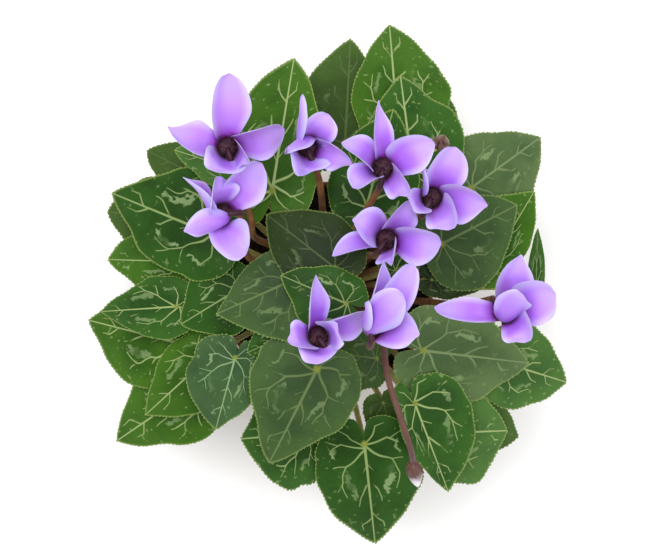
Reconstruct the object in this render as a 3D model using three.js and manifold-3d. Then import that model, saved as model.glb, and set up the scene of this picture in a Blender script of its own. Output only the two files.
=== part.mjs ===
// Potted cyclamen: a plastic nursery pot of soil, a half-buried corm, a dome of toothed heart-shaped leaves
// and nine nodding violet blooms with swept-back petals above them.
// Millimetres, +Z up, origin at the centre of the pot's underside.
import * as THREE from "three";
import { mergeVertices } from "three/addons/utils/BufferGeometryUtils.js";
import Module from "manifold-3d";

const wasm = await Module();
wasm.setup();
const radians = THREE.MathUtils.degToRad;

// Driving dimensions
const POT = {
  height: 92, rimRadius: 53, baseRadius: 37, wall: 1.4, floor: 2, segments: 24,
  collar: 13, collarStep: 2.2, lip: 1, footBevel: 1.5,
};
const DRAIN = { count: 6, radius: 4, ringRadius: 21, sides: 8 };
const SOIL = { edge: 79, bevel: 1.5, side: 2, mound: 83, shoulder: 36, slack: 1.6, lip: 2.5, segments: 16 };
const CORM = { radius: 24, halfHeight: 13, centre: 82, crown: 19.5, segments: 14, rings: 6 };
const GAP = 0.35; // between a piece and what it stands in
const STEM = { root: 4, neck: 1.5, spacing: 4.6, sides: 5, slack: 1.4, splay: 0.8, pull: 0.3, lean: 0.5 };
const FOOT_SEARCH = { widest: 48, turnStep: 4, slideStep: 0.5, turnPerCost: 5 };
const PETIOLE = { radius: 1.45, steps: 3 };
const STALK = { radius: 1.5, steps: 3 };
const DOME = { top: 132, fall: 45, radius: 120, power: 2.2 }; // surface that the leaves spread on
const BLADE = {
  thickness: 0.85, clearance: 1.9, innerRing: 0.56, tooth: 0.018, laidMargin: 1.05, stemSunk: 0.6,
  rise: 0.05, sag: 0.13, curl: 0.16, tilt: 0.08,
};
const GRID = { step: 2.5, half: 140 }; // plan grid on which the leaves are laid over each other
const PETAL = {
  thickness: 0.8, steps: 24, stations: [0, 4, 14, 24], columns: 2,
  ring: 4.6, sunk: 0.5, flare: 3, steep: 0.62, waist: 0.6, beyond: 1, arch: 2.5,
  claw: 3.2, full: 0.8, taper: 0.48, end: 0.42, rounding: 2.4, blunt: 0.5, sharp: 0.6,
  baseCup: 0.3, cup: 0.2,
};
const THROAT = { radius: 5, height: 4, segments: 6, profile: [[0, -0.1], [1, 0.1], [0.85, 0.65], [0, 1]] };
const CALYX = { lobes: 5, tipRadius: 4, notchRadius: 3.1, height: 2, edge: 0.8, droop: 0.4, seat: 0.5 };
// The stalk's bend over the nodding bloom: distance beside it and height above its mouth
const HOOK = {
  reach: 9.5, rise: 8.5, below: 12, steps: [[1, 0], [0.97, 0.6], [0.65, 0.97], [0.2, 0.94], [0, 0.62]],
};
const BUD = {
  segments: 7, profile: [[0, -0.07], [0.5, 0], [0.95, 0.2], [1, 0.4], [0.75, 0.65], [0.35, 0.87], [0, 1]],
};

// Half outline of a heart-shaped blade about its hub: angle from the tip in degrees, radius over the length
const OUTLINE = [
  [0, 1], [10, 0.84], [20, 0.72], [30, 0.65], [45, 0.6], [60, 0.565], [75, 0.53], [90, 0.5],
  [105, 0.46], [120, 0.41], [135, 0.36], [150, 0.31], [165, 0.25], [172, 0.17], [180, 0.05],
];
const OUTLINE_WIDTH = 1.02; // width over length of that outline
const FULLER = { within: 75, gain: 0.19 }; // swelling of a full blade on either side of its tip
const RIM_ANGLES = [11, 25, 40, 57, 75, 94, 114, 134, 152, 168]; // corners of one side of a blade
const INNER_CORNERS = [0, 3, 6, 9, 11, 13, 16, 19]; // rim corners that the inner ring of a blade faces

// Leaves from the lowest to the highest: hub x, hub y, tip x, tip y, width over length,
// share of the width on the left of the midrib, fold along the midrib, and fullness towards the tip.
// Measured from the plant's middle.
const LEAVES = [
  [9, 72, 11.8, 124.4, 0.9, 0.57, 0, 0.6],
  [-56, 51.5, -89.8, 68.6, 0.86, 0.5, 0, 0.9],
  [-75, 34, -109.5, 38, 1.08, 0.5, 0, 1.2],
  [-62, -47, -105.1, -76.4, 0.87, 0.5, 0, 0.6],
  [-10.5, -72, -43, -75, 1.5, 0.54, 0, 0.8],
  [28, -57, 34, -78, 1, 0.5, 0, 0.8],
  [71.8, 50, 106.7, 75.4, 1.1, 0.46, 0, 0.5],
  [69, -66, 95.6, -74.2, 1.12, 0.48, 0, 0.8],
  [104, 0.5, 105, 30, 0.28, 0.5, 0, 0.8],
  [-75, -27, -119, -15.9, 0.95, 0.58, 0, 0.8],
  [81.5, 11.5, 103.4, 48.3, 0.75, 0.65, 0.25, 1],
  [-71, 13, -109.3, 14.2, 0.85, 0.45, 0, 1],
  [51.5, 69, 59.5, 97, 0.8, 0.5, 0, 1],
  [86, -36.5, 119.6, -47, 1.17, 0.5, 0, 0.8],
  [58, -72, 90, -71, 1.5, 0.48, 0, 1],
  [52, 4, 77.5, 0, 0.8, 0.6, 0, 0.6],
  [34.7, 84.5, 31.1, 131.6, 1, 0.44, 0, 0.6],
  [57, 22, 94.8, 41.5, 1.15, 0.44, 0, 0.5],
  [48, -31, 100.8, -37.4, 0.87, 0.5, 0, 0.8],
  [-57.5, -33, -90.7, -63.4, 0.82, 0.55, 0, 0.6],
  [-75, -9.2, -112.6, -11.7, 0.82, 0.5, 0, 0.35],
  [-44, -0.5, -72.5, -18, 1.05, 0.5, 0, 1],
  [-56, 26.3, -107.2, 47.3, 0.93, 0.48, 0, 0.6],
  [42.5, 58, 36.5, 105.7, 1.02, 0.45, 0, 0.7],
  [-41, 57.5, -76, 68.6, 0.75, 0.42, 0, 0.6],
  [-27, 48.5, -16.3, 114.5, 0.72, 0.56, 0, 1],
  [18.6, -77.5, 24, -127.5, 1, 0.51, 0, 0.9],
  [43.5, -57.5, 60.4, -101.6, 0.76, 0.7, 0.2, 0.8],
  [25, -35, 2, -32, 1.35, 0.5, 0, 0.8],
  [-45.4, -34.5, -55.3, -70.4, 0.92, 0.4, 0, 1],
  [-21, -23.5, -39.5, -32, 1.1, 0.5, 0, 0.8],
  [34, 9, 43, 28, 0.9, 0.5, 0, 0.8],
  [20, 42, 33, 89.1, 0.85, 0.5, 0, 0.8],
  [-4.8, -40.2, -28.8, -87.1, 1.02, 0.46, 0, 0.4],
  [-18.5, 3.5, -55, -12.9, 1.15, 0.62, 0, 0.1],
  [4, 10, -30, 36.6, 0.92, 0.49, 0, 0.8],
  [9.5, -7.5, -23, 6.5, 0.93, 0.56, 0, 0.6],
];

// Blooms: centre of the mouth, its height, the stalk's way between the leaves, the bearing of the side
// where it bends over the bloom, and the petals. A petal: bearing of its foot, tip x and y from the centre,
// half width, rise of the tip, sideways bend, twist in degrees, and how pointed the tip is.
const BLOOMS = [
  {
    centre: [-49, 69], mouth: 178, way: [[-36.5, 26, 145], [-38, 36, 164]], side: 285,
    petals: [
      [344, 9, -8, 8, 21, 0, -15, 0], [30, 28, 9.5, 12.5, 9, -3, 20, 0], [97, 1.2, 37, 12.5, 9, 0, 12, 0],
      [165, -29.5, 10.7, 11, 12, 4, 30, 1], [223, -5, -12, 11, 21, 0, -8, 0],
    ],
  },
  {
    centre: [-10, 70], mouth: 184, way: [[-2.5, 43, 142], [-4, 54, 160]], side: 290,
    petals: [
      [345, 23, -10, 9.5, 14, 3, 30, 1], [35, 11, 15.5, 9, 18, 0, 25, 0],
      [85, -9, -2, 8.5, 22, 0, 10, 0.3],
      [135, -2, 25.5, 7.5, 17, 2, 40, 0.3], [222, -1, -14.5, 12, 18, 0, -10, 0],
    ],
  },
  {
    centre: [27.5, 59], mouth: 190, way: [[13, 27, 148], [16, 33, 166]], side: 262,
    petals: [
      [312, 12, -14, 9, 17, 2, 35, 0], [10, 25.7, 12, 10.5, 12, 2, 20, 0.3],
      [80, -2, 33.5, 6.5, 13, 1, 55, 1],
      [150, -20.3, 12.7, 9, 17, -4, 30, 0.3], [207, -15, -9.5, 8.5, 17, -4, 35, 0],
    ],
  },
  {
    centre: [51.6, 44.5], mouth: 180, way: [[45, 35, 141]], side: 243,
    petals: [
      [296, 8, -16, 10, 16, 2, 15, 0], [356, 27.6, -3.8, 12, 12, 0, 15, 0.8],
      [62, 12, 25, 11, 13, -2, 10, 0],
      [122, -5, 17.4, 5, 18, 0, 60, 0.4], [182, -10, -4, 7.5, 21, 0, 20, 0],
    ],
  },
  {
    centre: [29.4, 24], mouth: 168, way: [[18.5, 16, 146]], side: 236,
    petals: [
      [296, 1, -12, 8.5, 19, 0, 10, 0], [353, 27, -2, 11.5, 12, -2, 20, 0],
      [56, 13, 19, 9, 16, 0, 30, 0.3],
      [130, -16.8, 9.8, 10, 16, -3, 25, 1], [188, -26.8, -8.2, 6.5, 12, -5, 40, 0.2],
    ],
  },
  {
    centre: [-52, 36.5], mouth: 172, way: [[-38.5, 15, 146], [-41.5, 23, 163]], side: 5,
    petals: [
      [55, 20, 25, 12, 10, 0, 15, 0], [108, 0, 18.5, 11, 19, 0, 10, 0],
      [170, -19, 18.3, 9.5, 16, -4, 25, 1],
      [258, 12, -20, 10.5, 13, -4, 15, 0], [306, -18.5, -8.5, 7.5, 24, 0, 30, 1],
    ],
  },
  {
    centre: [-4.4, -24], mouth: 180, way: [[0, -22.5, 150]], side: 305,
    petals: [
      [6, 10, 3, 9, 22, 0, 15, 0], [48, 25.8, 10.5, 11, 9, 0, 10, 0], [110, -1, 30.5, 9, 13, 0, 25, 1],
      [180, -15, -1, 9.5, 20, 0, 30, 0.4], [235, 0, -13.5, 11, 19, 0, 15, 0.6],
    ],
  },
  {
    centre: [22.5, -19], mouth: 193, way: [[31, -9, 150]], side: 263,
    petals: [
      [315, 23, -4, 11, 13, 2, 15, 0.9], [30, 20, 31, 8.5, 10, -3, 25, 0],
      [95, 5.5, 32, 8.5, 12, -2, 30, 0.5],
      [152, -3, 12, 7, 18, 0, 10, 0], [193, 15, 16, 9.5, 27, 2, 10, 0],
    ],
  },
  {
    centre: [88.5, -12], mouth: 166, way: [[66.7, -8.3, 128.5]], side: 135,
    petals: [
      [182, -35.5, 2.5, 8, 9, 2, 20, 0.2], [240, 8, 9, 9.5, 24, 0, 0, 0],
      [295, 9, -15, 9.5, 16, 2, 20, 0],
      [0, 24.5, 9, 12, 12, 0, 15, 0], [72, 7.5, 28.5, 10.5, 12, 0, 10, 1],
    ],
  },
];

// Buds: the stalk's way between the leaves and on, then the direction and size of the closed bud
const BUDS = [
  {
    name: "bud_front",
    way: [[26, -17, 146], [30, -44, 166], [37, -66, 168], [42, -82, 159], [42.5, -87, 150]],
    axis: [0.16, -0.72, -0.66], length: 16, radius: 3.8,
  },
  {
    name: "bud_back",
    way: [[46.3, 39.6, 138], [54, 57, 154], [56.5, 66, 160], [56.5, 71.5, 156]],
    axis: [0, 0.1, -1], length: 11, radius: 4,
  },
];

// Solids and meshes
function signedVolume(vertices, triangles) {
  const corner = (index) => new THREE.Vector3().fromArray(vertices, 3 * triangles[index]);
  let volume = 0;
  for (let first = 0; first < triangles.length; first += 3) {
    volume += corner(first).dot(corner(first + 1).cross(corner(first + 2))) / 6;
  }
  return volume;
}

function closedSolid(vertices, triangles) {
  const turned = [];
  for (let first = 0; first < triangles.length; first += 3) {
    turned.push(triangles[first], triangles[first + 2], triangles[first + 1]);
  }
  const outward = signedVolume(vertices, triangles) < 0 ? turned : triangles;
  return new wasm.Manifold(new wasm.Mesh({
    numProp: 3, vertProperties: new Float32Array(vertices), triVerts: new Uint32Array(outward),
  }));
}

function solidOf(geometry) {
  geometry.deleteAttribute("normal");
  geometry.deleteAttribute("uv");
  const merged = mergeVertices(geometry, 1e-4);
  return closedSolid(Array.from(merged.attributes.position.array), Array.from(merged.index.array));
}

function meshOf(name, solid, material) {
  const { vertProperties, triVerts } = solid.getMesh();
  const geometry = new THREE.BufferGeometry();
  geometry.setAttribute("position", new THREE.BufferAttribute(vertProperties, 3));
  geometry.setIndex(new THREE.BufferAttribute(triVerts, 1));
  geometry.computeVertexNormals();
  const mesh = new THREE.Mesh(geometry, material);
  mesh.name = name;
  return mesh;
}

function turnedSolid(profile, segments) {
  const geometry = new THREE.LatheGeometry(profile.map(([r, z]) => new THREE.Vector2(r, z)), segments);
  return solidOf(geometry.rotateX(Math.PI / 2));
}

// A curve that is stepped at its own points, so that a bend gets as many steps as it has points
class Route extends THREE.CatmullRomCurve3 {
  getUtoTmapping(share) {
    return share;
  }
}

function tube(points, radius) {
  const corners = [];
  for (let side = 0; side < STEM.sides; side++) {
    const angle = (2 * Math.PI * side) / STEM.sides;
    corners.push(new THREE.Vector2(radius * Math.cos(angle), radius * Math.sin(angle)));
  }
  const settings = { steps: points.length - 1, bevelEnabled: false, extrudePath: new Route(points) };
  return solidOf(new THREE.ExtrudeGeometry(new THREE.Shape(corners), settings));
}

// A slab between two like faces: corners on top, the same corners underneath, and a wall round the rim
function slab(top, bottom, faces, rim) {
  const count = top.length;
  const vertices = [...top, ...bottom].flatMap((corner) => corner.toArray());
  const triangles = [];
  for (const [a, b, c] of faces) {
    triangles.push(a, b, c, a + count, c + count, b + count);
  }
  for (let k = 0; k < rim.length; k++) {
    const here = rim[k];
    const next = rim[(k + 1) % rim.length];
    triangles.push(here, here + count, next + count, here, next + count, next);
  }
  return closedSolid(vertices, triangles);
}

// Pot, soil and corm
function makePot() {
  const { height, rimRadius, baseRadius, wall, floor, segments, collar, collarStep, lip, footBevel } = POT;
  const neck = rimRadius - collarStep;
  const step = height - collar;
  const inside = rimRadius - wall;
  let drained = turnedSolid([
    [0, 0], [baseRadius - footBevel, 0], [baseRadius, footBevel], [neck, step], [rimRadius, step + lip],
    [rimRadius, height - lip], [rimRadius - 0.8 * lip, height], [inside - 0.6 * lip, height],
    [inside - lip, height - lip], [neck - wall, step - lip], [baseRadius - wall, floor], [0, floor],
  ], segments);
  for (let hole = 0; hole < DRAIN.count; hole++) {
    const angle = (2 * Math.PI * hole) / DRAIN.count;
    const cutter = new THREE.CylinderGeometry(DRAIN.radius, DRAIN.radius, 3 * floor, DRAIN.sides);
    cutter.rotateX(Math.PI / 2);
    cutter.translate(DRAIN.ringRadius * Math.cos(angle), DRAIN.ringRadius * Math.sin(angle), floor / 2);
    drained = drained.subtract(solidOf(cutter));
  }
  return drained;
}

function potInside(z) {
  const step = POT.height - POT.collar - POT.lip;
  const share = (z - POT.floor) / (step - POT.floor);
  const inside = THREE.MathUtils.lerp(POT.baseRadius, POT.rimRadius - POT.collarStep, share) - POT.wall;
  return inside * Math.cos(Math.PI / POT.segments) - GAP;
}

function cormRadiusAt(z, grow) {
  const height = (z - CORM.centre) / (CORM.halfHeight + grow);
  return (CORM.radius + grow) * Math.sqrt(Math.max(0, 1 - height * height));
}

function makeSoil() {
  const bottom = POT.floor + GAP;
  const hollow = [];
  const deepest = CORM.centre - CORM.halfHeight - GAP;
  for (let ring = 0; ring <= CORM.rings / 2; ring++) {
    const angle = (Math.PI / 2) * (1 - (2 * ring) / CORM.rings);
    const z = CORM.centre - (CORM.centre - deepest) * Math.sin(angle);
    hollow.push([cormRadiusAt(z, SOIL.slack * GAP), z]);
  }
  hollow[0][0] = 0;
  return turnedSolid([
    [0, bottom], [potInside(bottom), bottom], [potInside(SOIL.edge - SOIL.side), SOIL.edge - SOIL.side],
    [potInside(SOIL.edge) - SOIL.bevel, SOIL.edge], [SOIL.shoulder, SOIL.mound],
    [CORM.radius + SOIL.lip, SOIL.mound],
    ...hollow.reverse(),
  ], SOIL.segments);
}

function makeCorm() {
  const profile = [];
  for (let ring = 0; ring <= CORM.rings; ring++) {
    const angle = Math.PI * (ring / CORM.rings - 0.5);
    profile.push([CORM.radius * Math.cos(angle), CORM.centre + CORM.halfHeight * Math.sin(angle)]);
  }
  profile[0][0] = 0;
  profile[CORM.rings][0] = 0;
  return turnedSolid(profile, CORM.segments);
}

// Blades of the leaves
function outlineRadius(leaf, angle) {
  const turn = Math.abs(angle);
  const last = OUTLINE.findIndex(([limit]) => turn <= limit + 1e-9);
  const [toAngle, toRadius] = OUTLINE[last];
  const [fromAngle, fromRadius] = OUTLINE[Math.max(last - 1, 0)];
  const share = toAngle > fromAngle ? (turn - fromAngle) / (toAngle - fromAngle) : 1;
  const swell = turn < FULLER.within ? Math.sin((Math.PI * turn) / FULLER.within) : 0;
  return THREE.MathUtils.lerp(fromRadius, toRadius, share) * (1 + FULLER.gain * leaf.fullness * swell);
}

function vary(index, salt) {
  const noise = Math.sin(index * 12.9898 + salt * 78.233) * 43758.5453;
  return 2 * (noise - Math.floor(noise)) - 1;
}

function domeHeight(x, y) {
  return DOME.top - DOME.fall * Math.pow(Math.hypot(x, y) / DOME.radius, DOME.power);
}

function describeLeaf([hubX, hubY, tipX, tipY, width, leftShare, fold, fullness], index) {
  const length = Math.hypot(tipX - hubX, tipY - hubY);
  const scale = (2 * width) / OUTLINE_WIDTH;
  return {
    hubX, hubY, length, fold, fullness,
    alongX: (tipX - hubX) / length,
    alongY: (tipY - hubY) / length,
    leftScale: scale * leftShare,
    rightScale: scale * (1 - leftShare),
    tilt: BLADE.tilt * vary(index, 1),
    sag: BLADE.sag * (1 + 0.5 * vary(index, 2)),
    curl: BLADE.curl * (1 + 0.5 * vary(index, 3)),
    lift: 0,
  };
}

// Where a point of the blade, given along and across the midrib in lengths, lies in plan
function planPoint(leaf, along, across) {
  const x = leaf.hubX + leaf.length * (along * leaf.alongX - across * leaf.alongY);
  const y = leaf.hubY + leaf.length * (along * leaf.alongY + across * leaf.alongX);
  return [x, y];
}

function bladeHeight(leaf, along, across) {
  const [x, y] = planPoint(leaf, along, across);
  const droop = BLADE.rise * along - leaf.sag * along * Math.abs(along) - leaf.curl * across * across;
  const turn = leaf.tilt * across + leaf.fold * Math.abs(across);
  return domeHeight(x, y) + leaf.length * (droop + turn) + leaf.lift;
}

function isOnBlade(leaf, along, across, margin) {
  const squeezed = across / (across > 0 ? leaf.leftScale : leaf.rightScale);
  const angle = THREE.MathUtils.radToDeg(Math.atan2(squeezed, along));
  return Math.hypot(along, squeezed) < outlineRadius(leaf, angle) * margin;
}

// Each leaf in turn is raised until it clears every leaf under it
function layLeaves(leaves) {
  const count = Math.round((2 * GRID.half) / GRID.step);
  const ceiling = new Float64Array(count * count).fill(-Infinity);
  for (const leaf of leaves) {
    const cells = [];
    for (let cell = 0; cell < count * count; cell++) {
      const x = (cell % count) * GRID.step - GRID.half - leaf.hubX;
      const y = Math.floor(cell / count) * GRID.step - GRID.half - leaf.hubY;
      const along = (x * leaf.alongX + y * leaf.alongY) / leaf.length;
      const across = (y * leaf.alongX - x * leaf.alongY) / leaf.length;
      if (!isOnBlade(leaf, along, across, BLADE.laidMargin)) continue;
      cells.push([cell, bladeHeight(leaf, along, across)]);
    }
    leaf.lift = Math.max(0, ...cells.map(([cell, height]) => ceiling[cell] + BLADE.clearance - height));
    for (const [cell, height] of cells) ceiling[cell] = height + leaf.lift;
  }
}

function bladeCorner(leaf, angle, reach) {
  const radius = outlineRadius(leaf, angle) * reach;
  const along = radius * Math.cos(radians(angle));
  const across = radius * Math.sin(radians(angle)) * (angle > 0 ? leaf.leftScale : leaf.rightScale);
  const [x, y] = planPoint(leaf, along, across);
  return new THREE.Vector3(x, y, bladeHeight(leaf, along, across));
}

// The triangles between the inner ring and the rim of a blade, and those that meet at the hub
function bladeFaces(rimCount) {
  const innerCount = INNER_CORNERS.length;
  const inner = (k) => 1 + (k % innerCount);
  const outer = (k) => 1 + innerCount + (k % rimCount);
  const faces = [];
  for (let k = 0; k < innerCount; k++) {
    const from = INNER_CORNERS[k];
    const to = k + 1 < innerCount ? INNER_CORNERS[k + 1] : rimCount;
    const middle = Math.ceil((from + to) / 2);
    faces.push([0, inner(k), inner(k + 1)], [inner(k), outer(middle), inner(k + 1)]);
    for (let corner = from; corner < to; corner++) {
      faces.push([corner < middle ? inner(k) : inner(k + 1), outer(corner), outer(corner + 1)]);
    }
  }
  return faces;
}

function makeBlade(leaf) {
  const angles = [0, ...RIM_ANGLES, 180, ...RIM_ANGLES.map((angle) => -angle).reverse()];
  const top = [bladeCorner(leaf, 0, 0)];
  for (const corner of INNER_CORNERS) top.push(bladeCorner(leaf, angles[corner], BLADE.innerRing));
  angles.forEach((angle, k) => {
    const tooth = k % 2 ? BLADE.tooth : -BLADE.tooth;
    top.push(bladeCorner(leaf, angle, 1 + tooth));
  });
  const drop = bladeCorner(leaf, 0, 1).z - top[0].z;
  const depth = BLADE.thickness * Math.hypot(1, drop / leaf.length);
  const bottom = top.map((corner) => new THREE.Vector3(corner.x, corner.y, corner.z - depth));
  const rim = angles.map((angle, k) => 1 + INNER_CORNERS.length + k);
  return slab(top, bottom, bladeFaces(angles.length), rim);
}

// Stems: where they leave the corm, and their routes
function crownHeight(radius) {
  return CORM.centre + CORM.halfHeight * Math.sqrt(1 - (radius / CORM.radius) ** 2);
}

// The stem that goes furthest out gets the outermost free place in its direction on the crown
function placeFeet(stems) {
  const placed = [];
  const byReach = [...stems].sort((a, b) => Math.hypot(b.aim.x, b.aim.y) - Math.hypot(a.aim.x, a.aim.y));
  for (const stem of byReach) {
    const bearing = Math.atan2(stem.aim.y, stem.aim.x);
    let best = null;
    for (let turn = 0; turn <= FOOT_SEARCH.widest; turn += FOOT_SEARCH.turnStep) {
      for (const side of [1, -1]) {
        const angle = bearing + side * radians(turn);
        for (let radius = CORM.crown; radius > 0; radius -= FOOT_SEARCH.slideStep) {
          const spot = new THREE.Vector2(radius * Math.cos(angle), radius * Math.sin(angle));
          if (placed.some((other) => other.distanceTo(spot) < STEM.spacing)) continue;
          const cost = CORM.crown - radius + turn / FOOT_SEARCH.turnPerCost;
          if (!best || cost < best.cost) best = { cost, spot, radius };
          break;
        }
      }
    }
    placed.push(best.spot);
    stem.foot = new THREE.Vector3(best.spot.x, best.spot.y, crownHeight(best.radius));
  }
}

function risingRoute(foot, aim, steps) {
  const outward = new THREE.Vector3(foot.x, foot.y, 0).multiplyScalar(STEM.splay / CORM.crown);
  const start = new THREE.Vector3(0, 0, 1).add(outward).normalize();
  const pull = STEM.pull * foot.distanceTo(aim);
  const arrival = new THREE.Vector3(aim.x - foot.x, aim.y - foot.y, 0).normalize().multiplyScalar(STEM.lean);
  arrival.z = 1;
  const neck = foot.clone().addScaledVector(start, STEM.neck);
  const curve = new THREE.CubicBezierCurve3(
    neck, foot.clone().addScaledVector(start, pull), aim.clone().addScaledVector(arrival, -pull), aim,
  );
  const root = foot.clone().addScaledVector(start, -STEM.root);
  return [root, ...curve.getPoints(steps)];
}

function stemHole(route, radius) {
  const [root, neck] = route;
  const deeper = root.clone().addScaledVector(neck.clone().sub(root).normalize(), -GAP);
  return tube([deeper, ...route.slice(1)], radius + STEM.slack * GAP);
}

// Blooms
function petalSpine([footBearing, tipX, tipY, , rise, bend]) {
  const foot = new THREE.Vector3(Math.cos(radians(footBearing)), Math.sin(radians(footBearing)), 0);
  const tip = new THREE.Vector3(tipX, tipY, 0);
  const reach = tip.length();
  const out = PETAL.ring + PETAL.flare;
  const waist = tip.clone().multiplyScalar(Math.max(PETAL.waist, (out + PETAL.beyond) / reach));
  waist.add(new THREE.Vector3(-tipY, tipX, 0).multiplyScalar(bend / reach)).setZ(rise + PETAL.arch);
  return new THREE.CubicBezierCurve3(
    foot.clone().multiplyScalar(PETAL.ring).setZ(-PETAL.sunk),
    foot.multiplyScalar(out).setZ(PETAL.steep * rise),
    waist, tip.setZ(rise),
  );
}

function petalHalf(halfWidth, point, s) {
  const grown = THREE.MathUtils.smoothstep(s, 0, PETAL.full);
  const past = Math.max(0, (s - PETAL.taper) / (1 - PETAL.taper));
  const narrowing = (1 - past ** PETAL.rounding) ** (PETAL.blunt + PETAL.sharp * point);
  return THREE.MathUtils.lerp(PETAL.claw, halfWidth, grown) * Math.max(PETAL.end, narrowing);
}

// Points of a petal's middle surface with its normals, row by row from the foot to the tip
function petalGrid(petal) {
  const [footBearing, , , halfWidth, , , twist, point] = petal;
  const spine = petalSpine(petal);
  const across = new THREE.Vector3(-Math.sin(radians(footBearing)), Math.cos(radians(footBearing)), 0);
  const grid = [];
  for (let step = 0; step <= PETAL.steps; step++) {
    const s = step / PETAL.steps;
    const tangent = spine.getTangent(s);
    across.addScaledVector(tangent, -across.dot(tangent)).normalize();
    if (!PETAL.stations.includes(step)) continue;
    const turned = across.clone().applyAxisAngle(tangent, radians(twist) * s);
    const normal = tangent.clone().cross(turned);
    const half = petalHalf(halfWidth, point, s);
    const cup = half * THREE.MathUtils.lerp(PETAL.baseCup, PETAL.cup, Math.min(s / PETAL.full, 1));
    for (let column = 0; column <= PETAL.columns; column++) {
      const t = (2 * column) / PETAL.columns - 1;
      const corner = spine.getPoint(s).addScaledVector(turned, t * half);
      grid.push({ point: corner.addScaledVector(normal, cup * t * t), normal });
    }
  }
  return grid;
}

function makePetal(petal) {
  const grid = petalGrid(petal);
  const half = PETAL.thickness / 2;
  const face = (way) => grid.map(({ point, normal }) => point.clone().addScaledVector(normal, way * half));
  const width = PETAL.columns + 1;
  const rows = PETAL.stations.length - 1;
  const faces = [];
  const rim = [];
  for (let row = 0; row < rows; row++) {
    for (let column = 0; column < PETAL.columns; column++) {
      const a = row * width + column;
      faces.push([a, a + 1, a + width + 1], [a, a + width + 1, a + width]);
    }
  }
  for (let column = 0; column < PETAL.columns; column++) rim.push(column);
  for (let row = 0; row < rows; row++) rim.push(row * width + PETAL.columns);
  for (let column = PETAL.columns; column > 0; column--) rim.push(rows * width + column);
  for (let row = rows; row > 0; row--) rim.push(row * width);
  return slab(face(1), face(-1), faces, rim);
}

function makeCorolla(bloom) {
  const { radius, height, segments, profile } = THROAT;
  let solid = turnedSolid(profile.map(([r, z]) => [r * radius, z * height]), segments);
  for (const petal of bloom.petals) solid = solid.add(makePetal(petal));
  return solid;
}

function makeCalyx() {
  const { lobes, tipRadius, notchRadius, height, edge, droop, seat } = CALYX;
  const floor = THROAT.height + seat;
  const top = [new THREE.Vector3(0, 0, floor + height)];
  const bottom = [new THREE.Vector3(0, 0, floor)];
  const faces = [];
  const rim = [];
  for (let k = 0; k < 2 * lobes; k++) {
    const angle = (Math.PI * k) / lobes;
    const radius = k % 2 ? tipRadius : notchRadius;
    const low = floor - (k % 2 ? droop : 0);
    const corner = new THREE.Vector3(radius * Math.cos(angle), radius * Math.sin(angle), low + edge);
    top.push(corner);
    bottom.push(new THREE.Vector3(corner.x, corner.y, low));
    faces.push([0, 1 + k, 1 + ((k + 1) % (2 * lobes))]);
    rim.push(1 + k);
  }
  return slab(top, bottom, faces, rim);
}

function makeBloomStalk(bloom) {
  const { reach, rise, below, steps } = HOOK;
  const side = new THREE.Vector3(Math.cos(radians(bloom.side)), Math.sin(radians(bloom.side)), 0);
  const mouth = new THREE.Vector3(...bloom.centre, bloom.mouth);
  const beside = (out, height) => mouth.clone().addScaledVector(side, out).setZ(bloom.mouth + height);
  const hook = [beside(reach, -below), ...steps.map(([out, up]) => beside(out * reach, up * rise))];
  const way = bloom.way.slice(1).map((point) => new THREE.Vector3(...point));
  const calyx = makeCalyx().translate([...bloom.centre, bloom.mouth]);
  bloom.stem.route = [...risingRoute(bloom.stem.foot, bloom.stem.aim, STALK.steps), ...way, ...hook];
  return tube(bloom.stem.route, STALK.radius).add(calyx);
}

function makeBud(bud) {
  const way = bud.way.slice(1).map((point) => new THREE.Vector3(...point));
  bud.stem.route = [...risingRoute(bud.stem.foot, bud.stem.aim, STALK.steps), ...way];
  const profile = BUD.profile.map(([r, z]) => new THREE.Vector2(r * bud.radius, z * bud.length));
  const body = new THREE.LatheGeometry(profile, BUD.segments);
  const turn = new THREE.Quaternion().setFromUnitVectors(
    new THREE.Vector3(0, 1, 0), new THREE.Vector3(...bud.axis).normalize(),
  );
  const end = way[way.length - 1];
  body.applyQuaternion(turn).translate(end.x, end.y, end.z);
  return tube(bud.stem.route, STALK.radius).add(solidOf(body));
}

// Materials
const terracotta = new THREE.MeshStandardMaterial({ color: 0x8a4a32, roughness: 0.6, metalness: 0 });
const earth = new THREE.MeshStandardMaterial({ color: 0x2e2119, roughness: 1, metalness: 0 });
const cormBrown = new THREE.MeshStandardMaterial({ color: 0x5b4029, roughness: 0.9, metalness: 0 });
const leafGreen = new THREE.MeshStandardMaterial({ color: 0x2c5a28, roughness: 0.5, metalness: 0 });
const petalViolet = new THREE.MeshStandardMaterial({ color: 0xbe96ff, roughness: 0.6, metalness: 0 });
const stalkBrown = new THREE.MeshStandardMaterial({ color: 0x6a3d2c, roughness: 0.6, metalness: 0 });

// The plant in its pot
const plant = new THREE.Group();
const leaves = LEAVES.map(describeLeaf);
layLeaves(leaves);
for (const leaf of leaves) {
  leaf.stem = { aim: new THREE.Vector3(leaf.hubX, leaf.hubY, bladeHeight(leaf, 0, 0) - BLADE.stemSunk) };
}
for (const flower of [...BLOOMS, ...BUDS]) flower.stem = { aim: new THREE.Vector3(...flower.way[0]) };
placeFeet([...leaves, ...BLOOMS, ...BUDS].map((item) => item.stem));

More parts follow.
